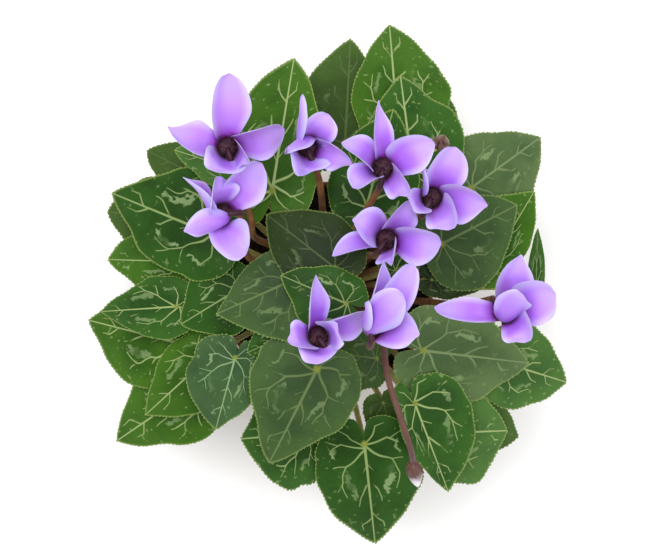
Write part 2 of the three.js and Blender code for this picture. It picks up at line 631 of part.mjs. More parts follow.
leaves.forEach((leaf, k) => {
  leaf.stem.route = risingRoute(leaf.stem.foot, leaf.stem.aim, PETIOLE.steps);
  const solid = makeBlade(leaf).add(tube(leaf.stem.route, PETIOLE.radius));
  plant.add(meshOf(`leaf_${String(k + 1).padStart(2, "0")}`, solid, leafGreen));
});
BLOOMS.forEach((bloom, k) => {
  const corolla = makeCorolla(bloom).translate([bloom.centre[0], bloom.centre[1], bloom.mouth]);
  plant.add(meshOf(`bloom_${k + 1}`, corolla, petalViolet));
  plant.add(meshOf(`bloom_stalk_${k + 1}`, makeBloomStalk(bloom), stalkBrown));
});
for (const bud of BUDS) plant.add(meshOf(bud.name, makeBud(bud), stalkBrown));

let corm = makeCorm();
for (const leaf of leaves) corm = corm.subtract(stemHole(leaf.stem.route, PETIOLE.radius));
for (const flower of [...BLOOMS, ...BUDS]) corm = corm.subtract(stemHole(flower.stem.route, STALK.radius));
plant.add(meshOf("corm", corm, cormBrown));
plant.add(meshOf("soil", makeSoil(), earth));
plant.add(meshOf("pot", makePot(), terracotta));

export default plant;
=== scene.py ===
# Potted cyclamen, dressed for rendering: toothed leaves with veins and silver marks, curled violet petals,
# hairy calyces, buds, soil, a corm and a plain nursery pot. Lengths are in millimetres until a mesh is made.
import functools
import math
from types import SimpleNamespace as Group

import bpy
import numpy as np
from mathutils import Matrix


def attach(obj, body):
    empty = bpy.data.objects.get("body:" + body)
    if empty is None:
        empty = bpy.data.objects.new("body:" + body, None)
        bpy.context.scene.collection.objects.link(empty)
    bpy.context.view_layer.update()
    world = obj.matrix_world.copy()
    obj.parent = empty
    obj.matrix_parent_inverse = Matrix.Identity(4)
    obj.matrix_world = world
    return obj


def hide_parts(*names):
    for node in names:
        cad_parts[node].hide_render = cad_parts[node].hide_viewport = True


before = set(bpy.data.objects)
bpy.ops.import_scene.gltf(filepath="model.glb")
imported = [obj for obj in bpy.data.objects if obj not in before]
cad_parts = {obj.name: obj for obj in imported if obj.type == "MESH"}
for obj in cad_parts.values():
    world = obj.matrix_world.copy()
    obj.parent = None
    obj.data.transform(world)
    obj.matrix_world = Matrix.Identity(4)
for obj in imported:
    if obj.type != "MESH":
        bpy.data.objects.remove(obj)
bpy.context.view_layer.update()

MM = 0.001

# Driving dimensions: those of the part's source, with more for the finer forms that only this script makes
POT = Group(
    height=92, rim=53, base=37, wall=1.4, floor=2, collar=13, collar_step=2.2,
    shoulder=1, drains=6, drain_radius=4, drain_ring=21, drain_sides=32, band=9,
    middle=0.6, sides=120, sharp=35,
)
SOIL = Group(
    edge=79, mound=83, flat=30, bank=16, sides=120, rings=22, inner=0.42, clear=0.2,
    ripple=0.9, pitch=3, grain=0.35, sharp=40, step=2, drop=2.5, middle=40, inset=0.5, dip=1,
)
CORM = Group(
    radius=24, half_height=13, centre=82, crown=19.5, inside=0.98, sides=96, rows=36,
    rough=0.02, cracks=9, slant=4, knobs=4, pitch=60,
)
GAP = 0.35
STEM = Group(root=4, neck=1.5, spacing=4.6, splay=0.8, pull=0.3, lean=0.5, steps=3)
FOOT_SEARCH = Group(widest=48, turn_step=4, slide_step=0.5, turn_per_cost=5)
DOME = Group(top=132, fall=45, radius=120, power=2.2)
BLADE = Group(
    clearance=1.9, laid_margin=1.05, stem_sunk=0.7, rise=0.05, sag=0.13, curl=0.16,
    tilt=0.08, vary=0.5, thickness=0.5,
)
GRID = Group(step=2.5, half=140)
PETAL = Group(
    ring=4.6, sunk=0.5, claw=4.2, flare=3, steep=0.62, waist=0.6, clear=1, arch=2.5,
    full=0.66, taper=0.48, end=0.05, round=2.4, blunt=0.5, sharpen=0.6,
    base_cup=0.3, cup=0.2, thickness=0.6, rows=24, columns=16,
)
THROAT = Group(radius=5.2, height=4.1, ribs=5, rib=0.05, sides=30, mouth=0.1)
CALYX = Group(
    lobes=5, tip=4.6, notch=3.4, height=2.2, droop=0.5, seat=0.5, thickness=0.5,
    sharp=1.3, keel=0.35, sides=60, rings=[0.25, 0.45, 0.62, 0.76, 0.88, 1.0],
)
HOOK = Group(reach=9.5, rise=8.5, below=12)
HOOK_TURN = [(1, 0), (0.97, 0.6), (0.65, 0.97), (0.2, 0.94), (0, 0.62)]  # shares of the hook's reach and rise

# Stems: the radius, and its factors at the foot, at the top and in the blade
PETIOLE = Group(radius=1.5, foot=1.12, top=0.92, end=0.75, per_span=7)
STALK = Group(radius=1.6, foot=1.15, top=0.9)

# Half outline of a heart-shaped blade about its hub: angle from the tip in degrees, radius over the length
OUTLINE = [
    (0, 1), (10, 0.84), (20, 0.72), (30, 0.65), (45, 0.6), (60, 0.565), (75, 0.53), (90, 0.5),
    (105, 0.46), (120, 0.41), (135, 0.36), (150, 0.31), (165, 0.25), (172, 0.17), (180, 0.05),
]
OUTLINE_WIDTH = 1.02
FULLER = Group(within=75, gain=0.19)

# Finer forms of a blade. The rings are shares of the way from the hub to the rim. The relief is in
# millimetres, with its reaches in lengths of the blade
RINGS = [0.05, 0.11, 0.18, 0.26, 0.34, 0.42, 0.5, 0.58, 0.66, 0.74, 0.82, 0.89, 0.945, 0.98, 1.0]
RELIEF = Group(
    pillow=0.5, vein_reach=0.11, soften=0.7, flutter=0.45, flutters=7, shift=6,
    ripple=0.25, dimple=0.4, dimple_reach=0.06,
)
WAVES = [(5, 0.017), (8, 0.014), (13, 0.009)]  # how many there are round a rim, and their share of the radius
WAVES_FADE = Group(tip=18, notch=30)  # degrees over which the waves fade out
TOOTH = Group(
    steps=4, spacing=0.5, depth=0.34, full_from=9, vary=0.5, drift=0.3,
    profile=[-0.9, 0.35, 0.75, 0.1],
)

# How far a petal's edges and tip leave its cupped surface, and how far its edges are drawn in by that, in
# half widths. The growth, the channel's end and the tip's start are shares of the petal's length
CURL = Group(
    over=0.5, over_power=2.2, under=0.3, growth=2.6, channel=0.22, channel_end=0.8,
    tip=0.35, tip_start=0.65, drawn=0.15,
)
# Waves along a petal's edges: the height in half widths, and the angles in radians
FRILL = Group(height=0.1, power=2.5, turn=6, shift=2.1, petal_shift=1.7)
# How a petal thins towards its edges and its tip, in shares of its thickness
PETAL_EDGE = Group(thinner=0.55, end=0.4, growth=4)

# The throat and a bud from foot to end: shares of the radius and of the height or length
THROAT_PROFILE = [
    (0.4, -0.09), (0.75, -0.1), (0.95, 0), (1, 0.15), (0.98, 0.4), (0.88, 0.65), (0.62, 0.9), (0.3, 1),
]
BUD_PROFILE = [
    (0.35, -0.05), (0.7, 0.04), (0.95, 0.2), (1, 0.4), (0.9, 0.55), (0.7, 0.7), (0.42, 0.85), (0.16, 0.96),
]
BUD_FOLDS = Group(count=5, height=0.09, twist=4, sides=40, foot=0.07, per_span=4)
SEPAL = Group(
    route=[(0.3, -0.05), (0.75, 0.06), (0.98, 0.22), (1.02, 0.4)], wide=1.2, end=0.25, sides=8,
    per_span=4,
)

# Hairs: the angles of a hair's three corners and the depth of its root, then numbers, sizes and spread
HAIR = Group(corners=(0, 2.1, 4.2), sunk=0.2, material=2)
CALYX_HAIRS = Group(
    count=130, radius=0.09, shortest=0.7, longest=1.3, spread=0.35, out=0.5, up=0.9,
)
STALK_HAIRS = Group(count=160, radius=0.07, length=0.8, spread=0.2, depth=0.9)
SEEDS = Group(stalk=20, bud=40, soil=7)

# The pot's section from under its base, up the outside, over the rim and down the inside: the corners that
# are rounded, and where their points lie from there, out and up
POT_SECTION = [
    ("foot", [(-2.2, 0), (-0.9, 0.25), (-0.15, 0.9), (0.35, 2.2)]),
    ("band", [(-0.175, -1), (0.28, -0.4), (0.42, 0.4), (0.175, 1)]),
    ("neck", [(-0.1, -1), (0.3, -0.3)]),
    ("collar", [(-0.5, 0.3), (0, 0.9)]),
    ("rim", [(0, -1.2), (-0.25, -0.4), (-0.8, 0)]),
    ("mouth", [(-0.5, 0), (-0.9, -0.4), (-1, -1.2)]),
    ("inner_neck", [(0, -1)]),
    ("floor", [(0.5, 0.8), (-0.8, 0)]),
]
# Crumbs of soil: sizes in millimetres, and shares of a crumb, of the soil's area or of all crumbs
CRUMB = Group(
    count=700, sides=5, profile=[(0.8, -0.5), (1, 0), (0.75, 0.5)], foot=0.7, top=0.8,
    smallest=0.5, largest=1.7, sunk=0.2, inner=0.24, outer=0.95, low=0.75, high=1.1,
    white=0.06,
)

# Veins on one side of a blade: points along and beside the midrib, then the half widths at the two ends,
# all in lengths of the blade
VEINS = [
    ([(0.02, 0.0), (1.0, 0.0)], 0.016, 0.007),
    ([(0.01, 0.0), (0.2, 0.24), (0.36, 0.29), (0.5, 0.25)], 0.011, 0.005),
    ([(0.0, 0.0), (-0.03, 0.2), (0.03, 0.34)], 0.01, 0.005),
    ([(0.0, 0.0), (-0.15, 0.12), (-0.18, 0.22)], 0.008, 0.004),
]
RIBS = [
    ([(0.2, 0.24), (0.22, 0.38)], 0.008, 0.005),
    ([(0.34, 0.285), (0.44, 0.37)], 0.008, 0.005),
    ([(-0.02, 0.24), (-0.08, 0.36)], 0.007, 0.004),
    ([(0.38, 0.0), (0.49, 0.1), (0.58, 0.12)], 0.011, 0.006),
    ([(0.2, 0.0), (0.29, 0.07)], 0.007, 0.004),
    ([(0.67, 0.0), (0.75, 0.09), (0.82, 0.09)], 0.009, 0.004),
]
# Silver patches on one side of a blade: their two ends, half width, and depth of the comb on the outer side
PATCHES = [
    ((0.3, 0.235), (0.5, 0.175), 0.036, 0.055),
    ((0.02, 0.31), (0.13, 0.34), 0.026, 0.05),
]

# Leaves from the lowest to the highest: hub x, hub y, tip x, tip y, width over length,
# share of the width on the left of the midrib, fold along the midrib, fullness towards the tip, and colouring
LEAVES = [
    (9, 72, 11.8, 124.4, 0.9, 0.57, 0, 0.6, "deep"),
    (-56, 51.5, -89.8, 68.6, 0.86, 0.5, 0, 0.9, "deep"),
    (-75, 34, -109.5, 38, 1.08, 0.5, 0, 1.2, "deep"),
    (-62, -47, -105.1, -76.4, 0.87, 0.5, 0, 0.6, "bright"),
    (-10.5, -72, -43, -75, 1.5, 0.54, 0, 0.8, "middle"),
    (28, -57, 34, -78, 1, 0.5, 0, 0.8, "deep"),
    (71.8, 50, 106.7, 75.4, 1.1, 0.46, 0, 0.5, "sheen_grey"),
    (69, -66, 95.6, -74.2, 1.12, 0.48, 0, 0.8, "deep"),
    (104, 0.5, 105, 30, 0.28, 0.5, 0, 0.8, "middle"),
    (-75, -27, -119, -15.9, 0.95, 0.58, 0, 0.8, "bright"),
    (81.5, 11.5, 103.4, 48.3, 0.75, 0.65, 0.25, 1, "bright"),
    (-71, 13, -109.3, 14.2, 0.85, 0.45, 0, 1, "bright"),
    (51.5, 69, 59.5, 97, 0.8, 0.5, 0, 1, "middle"),
    (86, -36.5, 119.6, -47, 1.17, 0.5, 0, 0.8, "pale"),
    (58, -72, 90, -71, 1.5, 0.48, 0, 1, "pale"),
    (52, 4, 77.5, 0, 0.8, 0.6, 0, 0.6, "slate"),
    (34.7, 84.5, 31.1, 131.6, 1, 0.44, 0, 0.6, "bright"),
    (57, 22, 94.8, 41.5, 1.15, 0.44, 0, 0.5, "dusky"),
    (48, -31, 100.8, -37.4, 0.87, 0.5, 0, 0.8, "sheen_grey"),
    (-57.5, -33, -90.7, -63.4, 0.82, 0.55, 0, 0.6, "bright"),
    (-75, -9.2, -112.6, -11.7, 0.82, 0.5, 0, 0.35, "middle"),
    (-44, -0.5, -72.5, -18, 1.05, 0.5, 0, 1, "dark"),
    (-56, 26.3, -107.2, 47.3, 0.93, 0.48, 0, 0.6, "dark"),
    (42.5, 58, 36.5, 105.7, 1.02, 0.45, 0, 0.7, "middle"),
    (-41, 57.5, -76, 68.6, 0.75, 0.42, 0, 0.6, "pale"),
    (-27, 48.5, -16.3, 114.5, 0.72, 0.56, 0, 1, "bright"),
    (18.6, -77.5, 24, -127.5, 1, 0.51, 0, 0.9, "dark"),
    (43.5, -57.5, 60.4, -101.6, 0.76, 0.7, 0.2, 0.8, "middle"),
    (25, -35, 2, -32, 1.35, 0.5, 0, 0.8, "dusky"),
    (-45.4, -34.5, -55.3, -70.4, 0.92, 0.4, 0, 1, "blue"),
    (-21, -23.5, -39.5, -32, 1.1, 0.5, 0, 0.8, "dark"),
    (34, 9, 43, 28, 0.9, 0.5, 0, 0.8, "dark"),
    (20, 42, 33, 89.1, 0.85, 0.5, 0, 0.8, "dark"),
    (-4.8, -40.2, -28.8, -87.1, 1.02, 0.46, 0, 0.4, "dusky"),
    (-18.5, 3.5, -55, -12.9, 1.15, 0.62, 0, 0.1, "dusky"),
    (4, 10, -30, 36.6, 0.92, 0.49, 0, 0.8, "slate"),
    (9.5, -7.5, -23, 6.5, 0.93, 0.56, 0, 0.6, "dark"),
]

# Blooms: centre of the mouth, its height, the stalk's way between the leaves, the bearing of the side where
# it bends over the bloom, and the petals anticlockwise from there. A petal: bearing of its foot, tip x and y
# from the centre, half width, rise of the tip, sideways bend, twist in degrees, and how pointed the tip is
BLOOMS = [
    ((-49, 69), 178, [(-36.5, 26, 145), (-38, 36, 164)], 285, [
        (344, 9, -8, 8, 21, 0, -15, 0), (30, 28, 9.5, 12.5, 9, -3, 20, 0),
        (97, 1.2, 37, 12.5, 9, 0, 12, 0), (165, -29.5, 10.7, 11, 12, 4, 30, 1),
        (223, -5, -12, 11, 21, 0, -8, 0),
    ]),
    ((-10, 70), 184, [(-2.5, 43, 142), (-4, 54, 160)], 290, [
        (345, 23, -10, 9.5, 14, 3, 30, 1), (35, 11, 15.5, 9, 18, 0, 25, 0),
        (85, -9, -2, 8.5, 22, 0, 10, 0.3), (135, -2, 25.5, 7.5, 17, 2, 40, 0.3),
        (222, -1, -14.5, 12, 18, 0, -10, 0),
    ]),
    ((27.5, 59), 190, [(13, 27, 148), (16, 33, 166)], 262, [
        (312, 12, -14, 9, 17, 2, 35, 0), (10, 25.7, 12, 10.5, 12, 2, 20, 0.3),
        (80, -2, 33.5, 6.5, 13, 1, 55, 1), (150, -20.3, 12.7, 9, 17, -4, 30, 0.3),
        (207, -15, -9.5, 8.5, 17, -4, 35, 0),
    ]),
    ((51.6, 44.5), 180, [(45, 35, 141)], 243, [
        (296, 8, -16, 10, 16, 2, 15, 0), (356, 27.6, -3.8, 12, 12, 0, 15, 0.8),
        (62, 12, 25, 11, 13, -2, 10, 0), (122, -5, 17.4, 5, 18, 0, 60, 0.4),
        (182, -10, -4, 7.5, 21, 0, 20, 0),
    ]),
    ((29.4, 24), 168, [(18.5, 16, 146)], 236, [
        (296, 1, -12, 8.5, 19, 0, 10, 0), (353, 27, -2, 11.5, 12, -2, 20, 0),
        (56, 13, 19, 9, 16, 0, 30, 0.3), (130, -16.8, 9.8, 10, 16, -3, 25, 1),
        (188, -26.8, -8.2, 6.5, 12, -5, 40, 0.2),
    ]),
    ((-52, 36.5), 172, [(-38.5, 15, 146), (-41.5, 23, 163)], 5, [
        (55, 20, 25, 12, 10, 0, 15, 0), (108, 0, 18.5, 11, 19, 0, 10, 0),
        (170, -19, 18.3, 9.5, 16, -4, 25, 1), (258, 12, -20, 10.5, 13, -4, 15, 0),
        (306, -18.5, -8.5, 7.5, 24, 0, 30, 1),
    ]),
    ((-4.4, -24), 180, [(0, -22.5, 150)], 305, [
        (6, 10, 3, 9, 22, 0, 15, 0), (48, 25.8, 10.5, 11, 9, 0, 10, 0),
        (110, -1, 30.5, 9, 13, 0, 25, 1), (180, -15, -1, 9.5, 20, 0, 30, 0.4),
        (235, 0, -13.5, 11, 19, 0, 15, 0.6),
    ]),
    ((22.5, -19), 193, [(31, -9, 150)], 263, [
        (315, 23, -4, 11, 13, 2, 15, 0.9), (30, 20, 31, 8.5, 10, -3, 25, 0),
        (95, 5.5, 32, 8.5, 12, -2, 30, 0.5), (152, -3, 12, 7, 18, 0, 10, 0),
        (193, 15, 16, 9.5, 27, 2, 10, 0),
    ]),
    ((88.5, -12), 166, [(66.7, -8.3, 128.5)], 135, [
        (182, -35.5, 2.5, 8, 9, 2, 20, 0.2), (240, 8, 9, 9.5, 24, 0, 0, 0),
        (295, 9, -15, 9.5, 16, 2, 20, 0), (0, 24.5, 9, 12, 12, 0, 15, 0),
        (72, 7.5, 28.5, 10.5, 12, 0, 10, 1),
    ]),
]

# Buds: the stalk's way between the leaves and on, then the direction and size of the closed bud
BUDS = [
    Group(
        name="bud_front", material="bud_pale", axis=(0.16, -0.72, -0.66), length=16, radius=3.8,
        way=[(26, -17, 146), (30, -44, 166), (37, -66, 168), (42, -82, 159), (42.5, -87, 150)],
    ),
    Group(
        name="bud_back", material="bud_brown", axis=(0, 0.1, -1), length=11, radius=4,
        way=[(46.3, 39.6, 138), (54, 57, 154), (56.5, 66, 160), (56.5, 71.5, 156)],
    ),
]


# Meshes
class Skin:
    """The closed bodies that make up one piece, with the material of each face and marks on each point."""

    def __init__(self):
        self.points = []
        self.marks = []
        self.faces = []
        self.materials = []
        self.count = 0

    def add_stack(self, rings, first, last, material=0, ring_marks=None, row_materials=None):
        """A closed body through rings of points, shut by a point at either end."""
        rings = np.asarray(rings, float)
        rows, around = rings.shape[:2]
        points = np.concatenate([rings.reshape(-1, 3), [first], [last]])
        if ring_marks is None:
            marks = np.zeros_like(points)
        else:
            flat = np.asarray(ring_marks, float).reshape(-1, 3)
            marks = np.concatenate([flat, [flat[:around].mean(axis=0)], [flat[-around:].mean(axis=0)]])
        here = np.arange(around)
        after = (here + 1) % around
        start = around * np.arange(rows - 1)[:, None]
        end = (rows - 1) * around
        quads = np.stack([start + here, start + after, start + around + after, start + around + here], -1)
        quads = quads.reshape(-1, 4)
        head = np.stack([np.full(around, rows * around), after, here], 1)
        tail = np.stack([np.full(around, rows * around + 1), end + here, end + after], 1)
        caps = np.vstack([head, tail])
        if self.volume(points, quads, caps) < 0:
            quads = quads[:, ::-1]
            caps = caps[:, ::-1]
        for faces in (caps[:around], quads, caps[around:]):
            self.faces += (faces + self.count).tolist()
        self.materials += np.repeat(row_materials or [material] * (rows + 1), around).tolist()
        self.points.append(points)
        self.marks.append(marks)
        self.count += len(points)

    @staticmethod
    def volume(points, quads, triangles):
        """Six times the volume in the faces, and negative where they face inwards."""
        corners = np.vstack([quads[:, [0, 1, 2]], quads[:, [0, 2, 3]], triangles])
        a, b, c = (points[corners[:, k]] for k in range(3))
        return float(np.einsum("ij,ij->", a, np.cross(b, c)))

    def mesh(self, name):
        mesh = bpy.data.meshes.new(name)
        mesh.from_pydata((np.concatenate(self.points) * MM).tolist(), [], self.faces)
        return mesh

    def piece(self, name, materials, node, slot, sharp=60):
        """Makes the object, lets it stand for its CAD node and gives it its materials; slot is not used."""
        mesh = self.mesh(name)
        for material in materials:
            mesh.materials.append(PAINT[material])
        mesh.polygons.foreach_set("material_index", self.materials)
        mesh.polygons.foreach_set("use_smooth", [True] * len(self.faces))
        marks = mesh.attributes.new("marks", "FLOAT_VECTOR", "POINT")
        marks.data.foreach_set("vector", np.concatenate(self.marks).ravel())
        mesh.set_sharp_from_angle(angle=math.radians(sharp))
        mesh.update()
        piece = add_object(name, mesh)
        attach(piece, "root")
        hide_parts(node)
        return piece


def add_object(name, data):
    new = bpy.data.objects.new(name, data)
    bpy.context.scene.collection.objects.link(new)
    return new


def unit(vector):
    return vector / np.linalg.norm(vector)


def mixed(start, end, share):
    return (1 - share) * start + share * end


def compass(degrees):
    """The level direction with a bearing in degrees."""
    return np.array([math.cos(math.radians(degrees)), math.sin(math.radians(degrees)), 0])


def round_angles(sides):
    return np.linspace(0, 2 * np.pi, sides, endpoint=False)


def ring_about(centre, side, up, angles, radii):
    """Points round a centre, in the plane of two directions."""
    return centre + (radii * np.cos(angles))[:, None] * side + (radii * np.sin(angles))[:, None] * up


def smooth_path(points, per_span=6):
    """A centripetal Catmull-Rom curve through the points."""
    points = np.asarray(points, float)
    ends = [2 * points[0] - points[1], *points, 2 * points[-1] - points[-2]]
    path = [points[0]]
    for corners in zip(ends, ends[1:], ends[2:], ends[3:]):
        gaps = [max(np.linalg.norm(end - start), 1e-6) ** 0.5 for start, end in zip(corners, corners[1:])]
        knots = np.cumsum([0, *gaps])
        for step in range(1, per_span + 1):
            t = knots[1] + (knots[2] - knots[1]) * step / per_span
            row = corners
            for reach in (1, 2):
                shares = (t - knots[:-reach]) / (knots[reach:] - knots[:-reach])
                row = [mixed(start, end, share) for start, end, share in zip(row, row[1:], shares)]
            path.append(mixed(*row, step / per_span))
    return np.array(path)


def frames_along(path):
    """For each point of a path, two directions across it that don't spin."""
    tangents = np.gradient(path, axis=0)
    tangents /= np.linalg.norm(tangents, axis=1)[:, None]
    side = unit(np.cross(tangents[0], (0.3, 1, 0.1)))
    frames = []
    for tangent in tangents:
        side = unit(side - tangent * np.dot(side, tangent))
        frames.append((side, np.cross(tangent, side)))
    return frames


def add_tube(skin, path, radii, sides=12, material=0):
    angles = round_angles(sides)
    run = np.concatenate([[0], np.cumsum(np.linalg.norm(np.diff(path, axis=0), axis=1))])
    steps = zip(path, frames_along(path), radii)
    rings = [ring_about(point, side, up, angles, radius) for point, (side, up), radius in steps]
    marks = [[(travelled / run[-1], 0, 0)] * sides for travelled in run]
    skin.add_stack(rings, path[0], path[-1], material, marks)


def add_hair(skin, root, tip, radius):
    """A fine three-sided spike."""
    axis = unit(tip - root)
    side = unit(np.cross(axis, (0.21, 0.37, 0.9)))
    ring = ring_about(root, side, np.cross(axis, side), np.array(HAIR.corners), radius)
    skin.add_stack([ring], root - HAIR.sunk * axis, tip, HAIR.material)


def turned(profile, sides, ridge=1.0):
    """Rings of points about Z for a profile of radius and height; ridge scales the radius round a ring."""
    angles = round_angles(sides)
    ring = np.stack([ridge * np.cos(angles), ridge * np.sin(angles), np.zeros(sides)], 1)
    return [radius * ring + (0, 0, height) for radius, height in profile]


def bezier(corners, share):
    """Point and direction of a cubic curve."""
    a, b, c, d = (np.asarray(corner, float) for corner in corners)
    rest = 1 - share
    point = rest ** 3 * a + 3 * rest ** 2 * share * b + 3 * rest * share ** 2 * c + share ** 3 * d
    slope = 3 * rest ** 2 * (b - a) + 6 * rest * share * (c - b) + 3 * share ** 2 * (d - c)
    return point, unit(slope)


def turn_about(vector, axis, angle):
    return (
        vector * math.cos(angle) + np.cross(axis, vector) * math.sin(angle)
        + axis * np.dot(axis, vector) * (1 - math.cos(angle))
    )


def ripple(x, y, z=0.0):
    """A smooth wavy number between about -1 and 1 for a place in millimetres."""
    return (
        np.sin(0.31 * x + 1.3 * np.sin(0.17 * y)) + np.sin(0.37 * y + 1.1 * np.sin(0.13 * x + 0.2 * z))
        + np.sin(0.23 * (x + y) + 0.29 * z)
    ) / 3


# Leaves: the radii of a blade for whole degrees, plain and averaged over the degrees on either side
AVERAGED = 4
SHARES = np.full(2 * AVERAGED + 1, 1 / (2 * AVERAGED + 1))
PLAIN_RADII = np.interp(np.arange(181), *zip(*OUTLINE))
SMOOTH_RADII = np.convolve(np.pad(PLAIN_RADII, AVERAGED, "reflect", reflect_type="odd"), SHARES, "valid")


def outline(angles, radii, fullness):
    """The radius at angles from a blade's tip, out of radii for whole degrees, and wider in a full blade."""
    share = np.minimum(np.abs(angles) / FULLER.within, 1)
    fuller = 1 + fullness * FULLER.gain * np.sin(np.pi * share)
    return np.interp(np.abs(angles), np.arange(181), radii) * fuller


def vary(index, salt):
    """A number between -1 and 1 that is the same each time for an index and a salt."""
    noise = math.sin(index * 12.9898 + salt * 78.233) * 43758.5453
    return 2 * (noise - math.floor(noise)) - 1


def dome_height(x, y):
    return DOME.top - DOME.fall * (np.hypot(x, y) / DOME.radius) ** DOME.power


class Leaf:
    """Where a leaf lies, how large it is, and the curved surface of its blade."""

    def __init__(self, index, hub_x, hub_y, tip_x, tip_y, width, left_share, fold, fullness, colouring):
        self.index = index
        self.hub = (hub_x, hub_y)
        self.length = math.hypot(tip_x - hub_x, tip_y - hub_y)
        self.way = ((tip_x - hub_x) / self.length, (tip_y - hub_y) / self.length)
        scale = 2 * width / OUTLINE_WIDTH
        self.left = scale * left_share
        self.right = scale * (1 - left_share)
        self.fold = fold
        self.fullness = fullness
        self.tilt = BLADE.tilt * vary(index, 1)
        self.sag = BLADE.sag * (1 + BLADE.vary * vary(index, 2))
        self.curl = BLADE.curl * (1 + BLADE.vary * vary(index, 3))
        self.lift = 0.0
        self.colouring = colouring

    def side_scale(self, across):
        return np.where(across > 0, self.left, self.right)

    def plan(self, along, across):
        x = self.hub[0] + self.length * (along * self.way[0] - across * self.way[1])
        y = self.hub[1] + self.length * (along * self.way[1] + across * self.way[0])
        return x, y

    def height(self, along, across):
        x, y = self.plan(along, across)
        droop = BLADE.rise * along - self.sag * along * np.abs(along) - self.curl * across * across
        turn = self.tilt * across + self.fold * np.abs(across)
        return dome_height(x, y) + self.length * (droop + turn) + self.lift

    def hub_point(self, sunk):
        return np.array([*self.hub, float(self.height(0.0, 0.0)) - sunk])


def lay_leaves(leaves):
    """Raises each leaf in turn until it clears every leaf under it."""
    count = round(2 * GRID.half / GRID.step)
    axis = np.arange(count) * GRID.step - GRID.half
    x, y = np.meshgrid(axis, axis)
    ceiling = np.full(x.shape, -np.inf)
    for leaf in leaves:
        away_x = x - leaf.hub[0]
        away_y = y - leaf.hub[1]
        along = (away_x * leaf.way[0] + away_y * leaf.way[1]) / leaf.length
        across = (away_y * leaf.way[0] - away_x * leaf.way[1]) / leaf.length
        squeezed = across / leaf.side_scale(across)
        reach = outline(np.degrees(np.arctan2(squeezed, along)), PLAIN_RADII, leaf.fullness)
        covered = np.hypot(along, squeezed) < reach * BLADE.laid_margin
        heights = leaf.height(along, across)
        needed = ceiling[covered] + BLADE.clearance - heights[covered]
        leaf.lift = max(0.0, float(needed.max()))
        ceiling[covered] = heights[covered] + leaf.lift


def vein_distance(along, squeezed):
    """Distance to the nearest of the main veins, in lengths of the blade."""
    spot = np.stack([along, np.abs(squeezed)], -1)
    nearest = np.full(along.shape, np.inf)
    for points, *_ in VEINS:
        for start, end in zip(points, points[1:]):
            run = np.subtract(end, start)
            share = np.clip((spot - start) @ run / (run @ run), 0, 1)
            off = spot - start - share[..., None] * run
            nearest = np.minimum(nearest, np.hypot(off[..., 0], off[..., 1]))
    return nearest


def rim_angles(leaf, random):
    """Angles of the points round the rim, a few for each tooth, with teeth of uneven length."""
    dense = np.linspace(-180, 180, 4 * 360 + 1)
    radii = outline(dense, SMOOTH_RADII, leaf.fullness)
    along = radii * np.cos(np.radians(dense))
    across = radii * np.sin(np.radians(dense))
    across *= leaf.side_scale(across)
    steps = np.hypot(np.diff(along), np.diff(across)) * leaf.length
    run = np.concatenate([[0], np.cumsum(steps)])
    tooth = TOOTH.spacing * TOOTH.steps
    teeth = round(run[-1] / tooth)
    stops = np.linspace(0, run[-1], teeth + 1)
    stops[1:-1] += TOOTH.drift * tooth * random.uniform(-1, 1, teeth - 1)
    places = np.interp(np.arange(teeth * TOOTH.steps) / TOOTH.steps, np.arange(teeth + 1), stops)
    return np.interp(places, run, dense)


def wavy(leaf, angles):
    """The uneven rim of a leaf as a factor on its radius, even at the tip and at the notch."""
    from_tip = np.abs(angles)
    steady = np.minimum(1, from_tip / WAVES_FADE.tip) * np.minimum(1, (180 - from_tip) / WAVES_FADE.notch)
    waves = [
        share * np.sin(count * np.radians(angles) + math.pi * vary(leaf.index, 5 + count))
        for count, share in WAVES
    ]
    return 1 + steady * sum(waves)


def toothed(radii, leaf, random):
    """How far out each ring lies, as shares of the radius, with teeth of uneven height on the last one."""
    reach = np.array(RINGS)[:, None] * np.ones(len(radii))
    size = radii * leaf.length
    tall = 1 + TOOTH.vary * random.uniform(-1, 1, len(radii) // TOOTH.steps)
    bite = TOOTH.depth * np.minimum(1, size / TOOTH.full_from) / size
    reach[-1] += bite * np.outer(tall, TOOTH.profile).ravel()
    return reach


def blade_relief(leaf, angles, reach, along, squeezed):
    """Height over the plain blade: sunk veins, a fluttered rim, ripples and a dimple at the hub."""
    bulge = 4 * reach * (1 - reach)
    pillow = np.minimum(vein_distance(along, squeezed) / RELIEF.vein_reach, 1) ** RELIEF.soften
    turn = np.radians(angles) * RELIEF.flutters + RELIEF.shift * vary(leaf.index, 4)
    x, y = leaf.plan(along, squeezed * leaf.side_scale(squeezed))
    dimple = np.exp(-(np.hypot(along, squeezed) / RELIEF.dimple_reach) ** 2)
    return (
        RELIEF.pillow * bulge * pillow + RELIEF.flutter * reach ** 3 * np.sin(turn)
        + RELIEF.ripple * ripple(x, y) - RELIEF.dimple * dimple
    )


def add_blade(skin, leaf):
    random = np.random.default_rng(leaf.index)
    angles = rim_angles(leaf, random)
    radii = outline(angles, SMOOTH_RADII, leaf.fullness) * wavy(leaf, angles)
    reach = toothed(radii, leaf, random)
    along = radii * reach * np.cos(np.radians(angles))
    squeezed = radii * reach * np.sin(np.radians(angles))
    across = squeezed * leaf.side_scale(squeezed)
    relief = blade_relief(leaf, angles, reach, along, squeezed)
    top = np.stack([*leaf.plan(along, across), leaf.height(along, across) + relief], -1)
    marks = np.stack([along, squeezed, reach], -1)
    hub = leaf.hub_point(RELIEF.dimple)
    down = (0, 0, BLADE.thickness)
    under = np.arange(len(RINGS) - 1, -1, -2)
    skin.add_stack(
        np.concatenate([top, top[under] - down]), hub, hub - down,
        ring_marks=np.concatenate([marks, marks[under]]),
        row_materials=[0] * len(RINGS) + [1] * (len(under) + 1),
    )


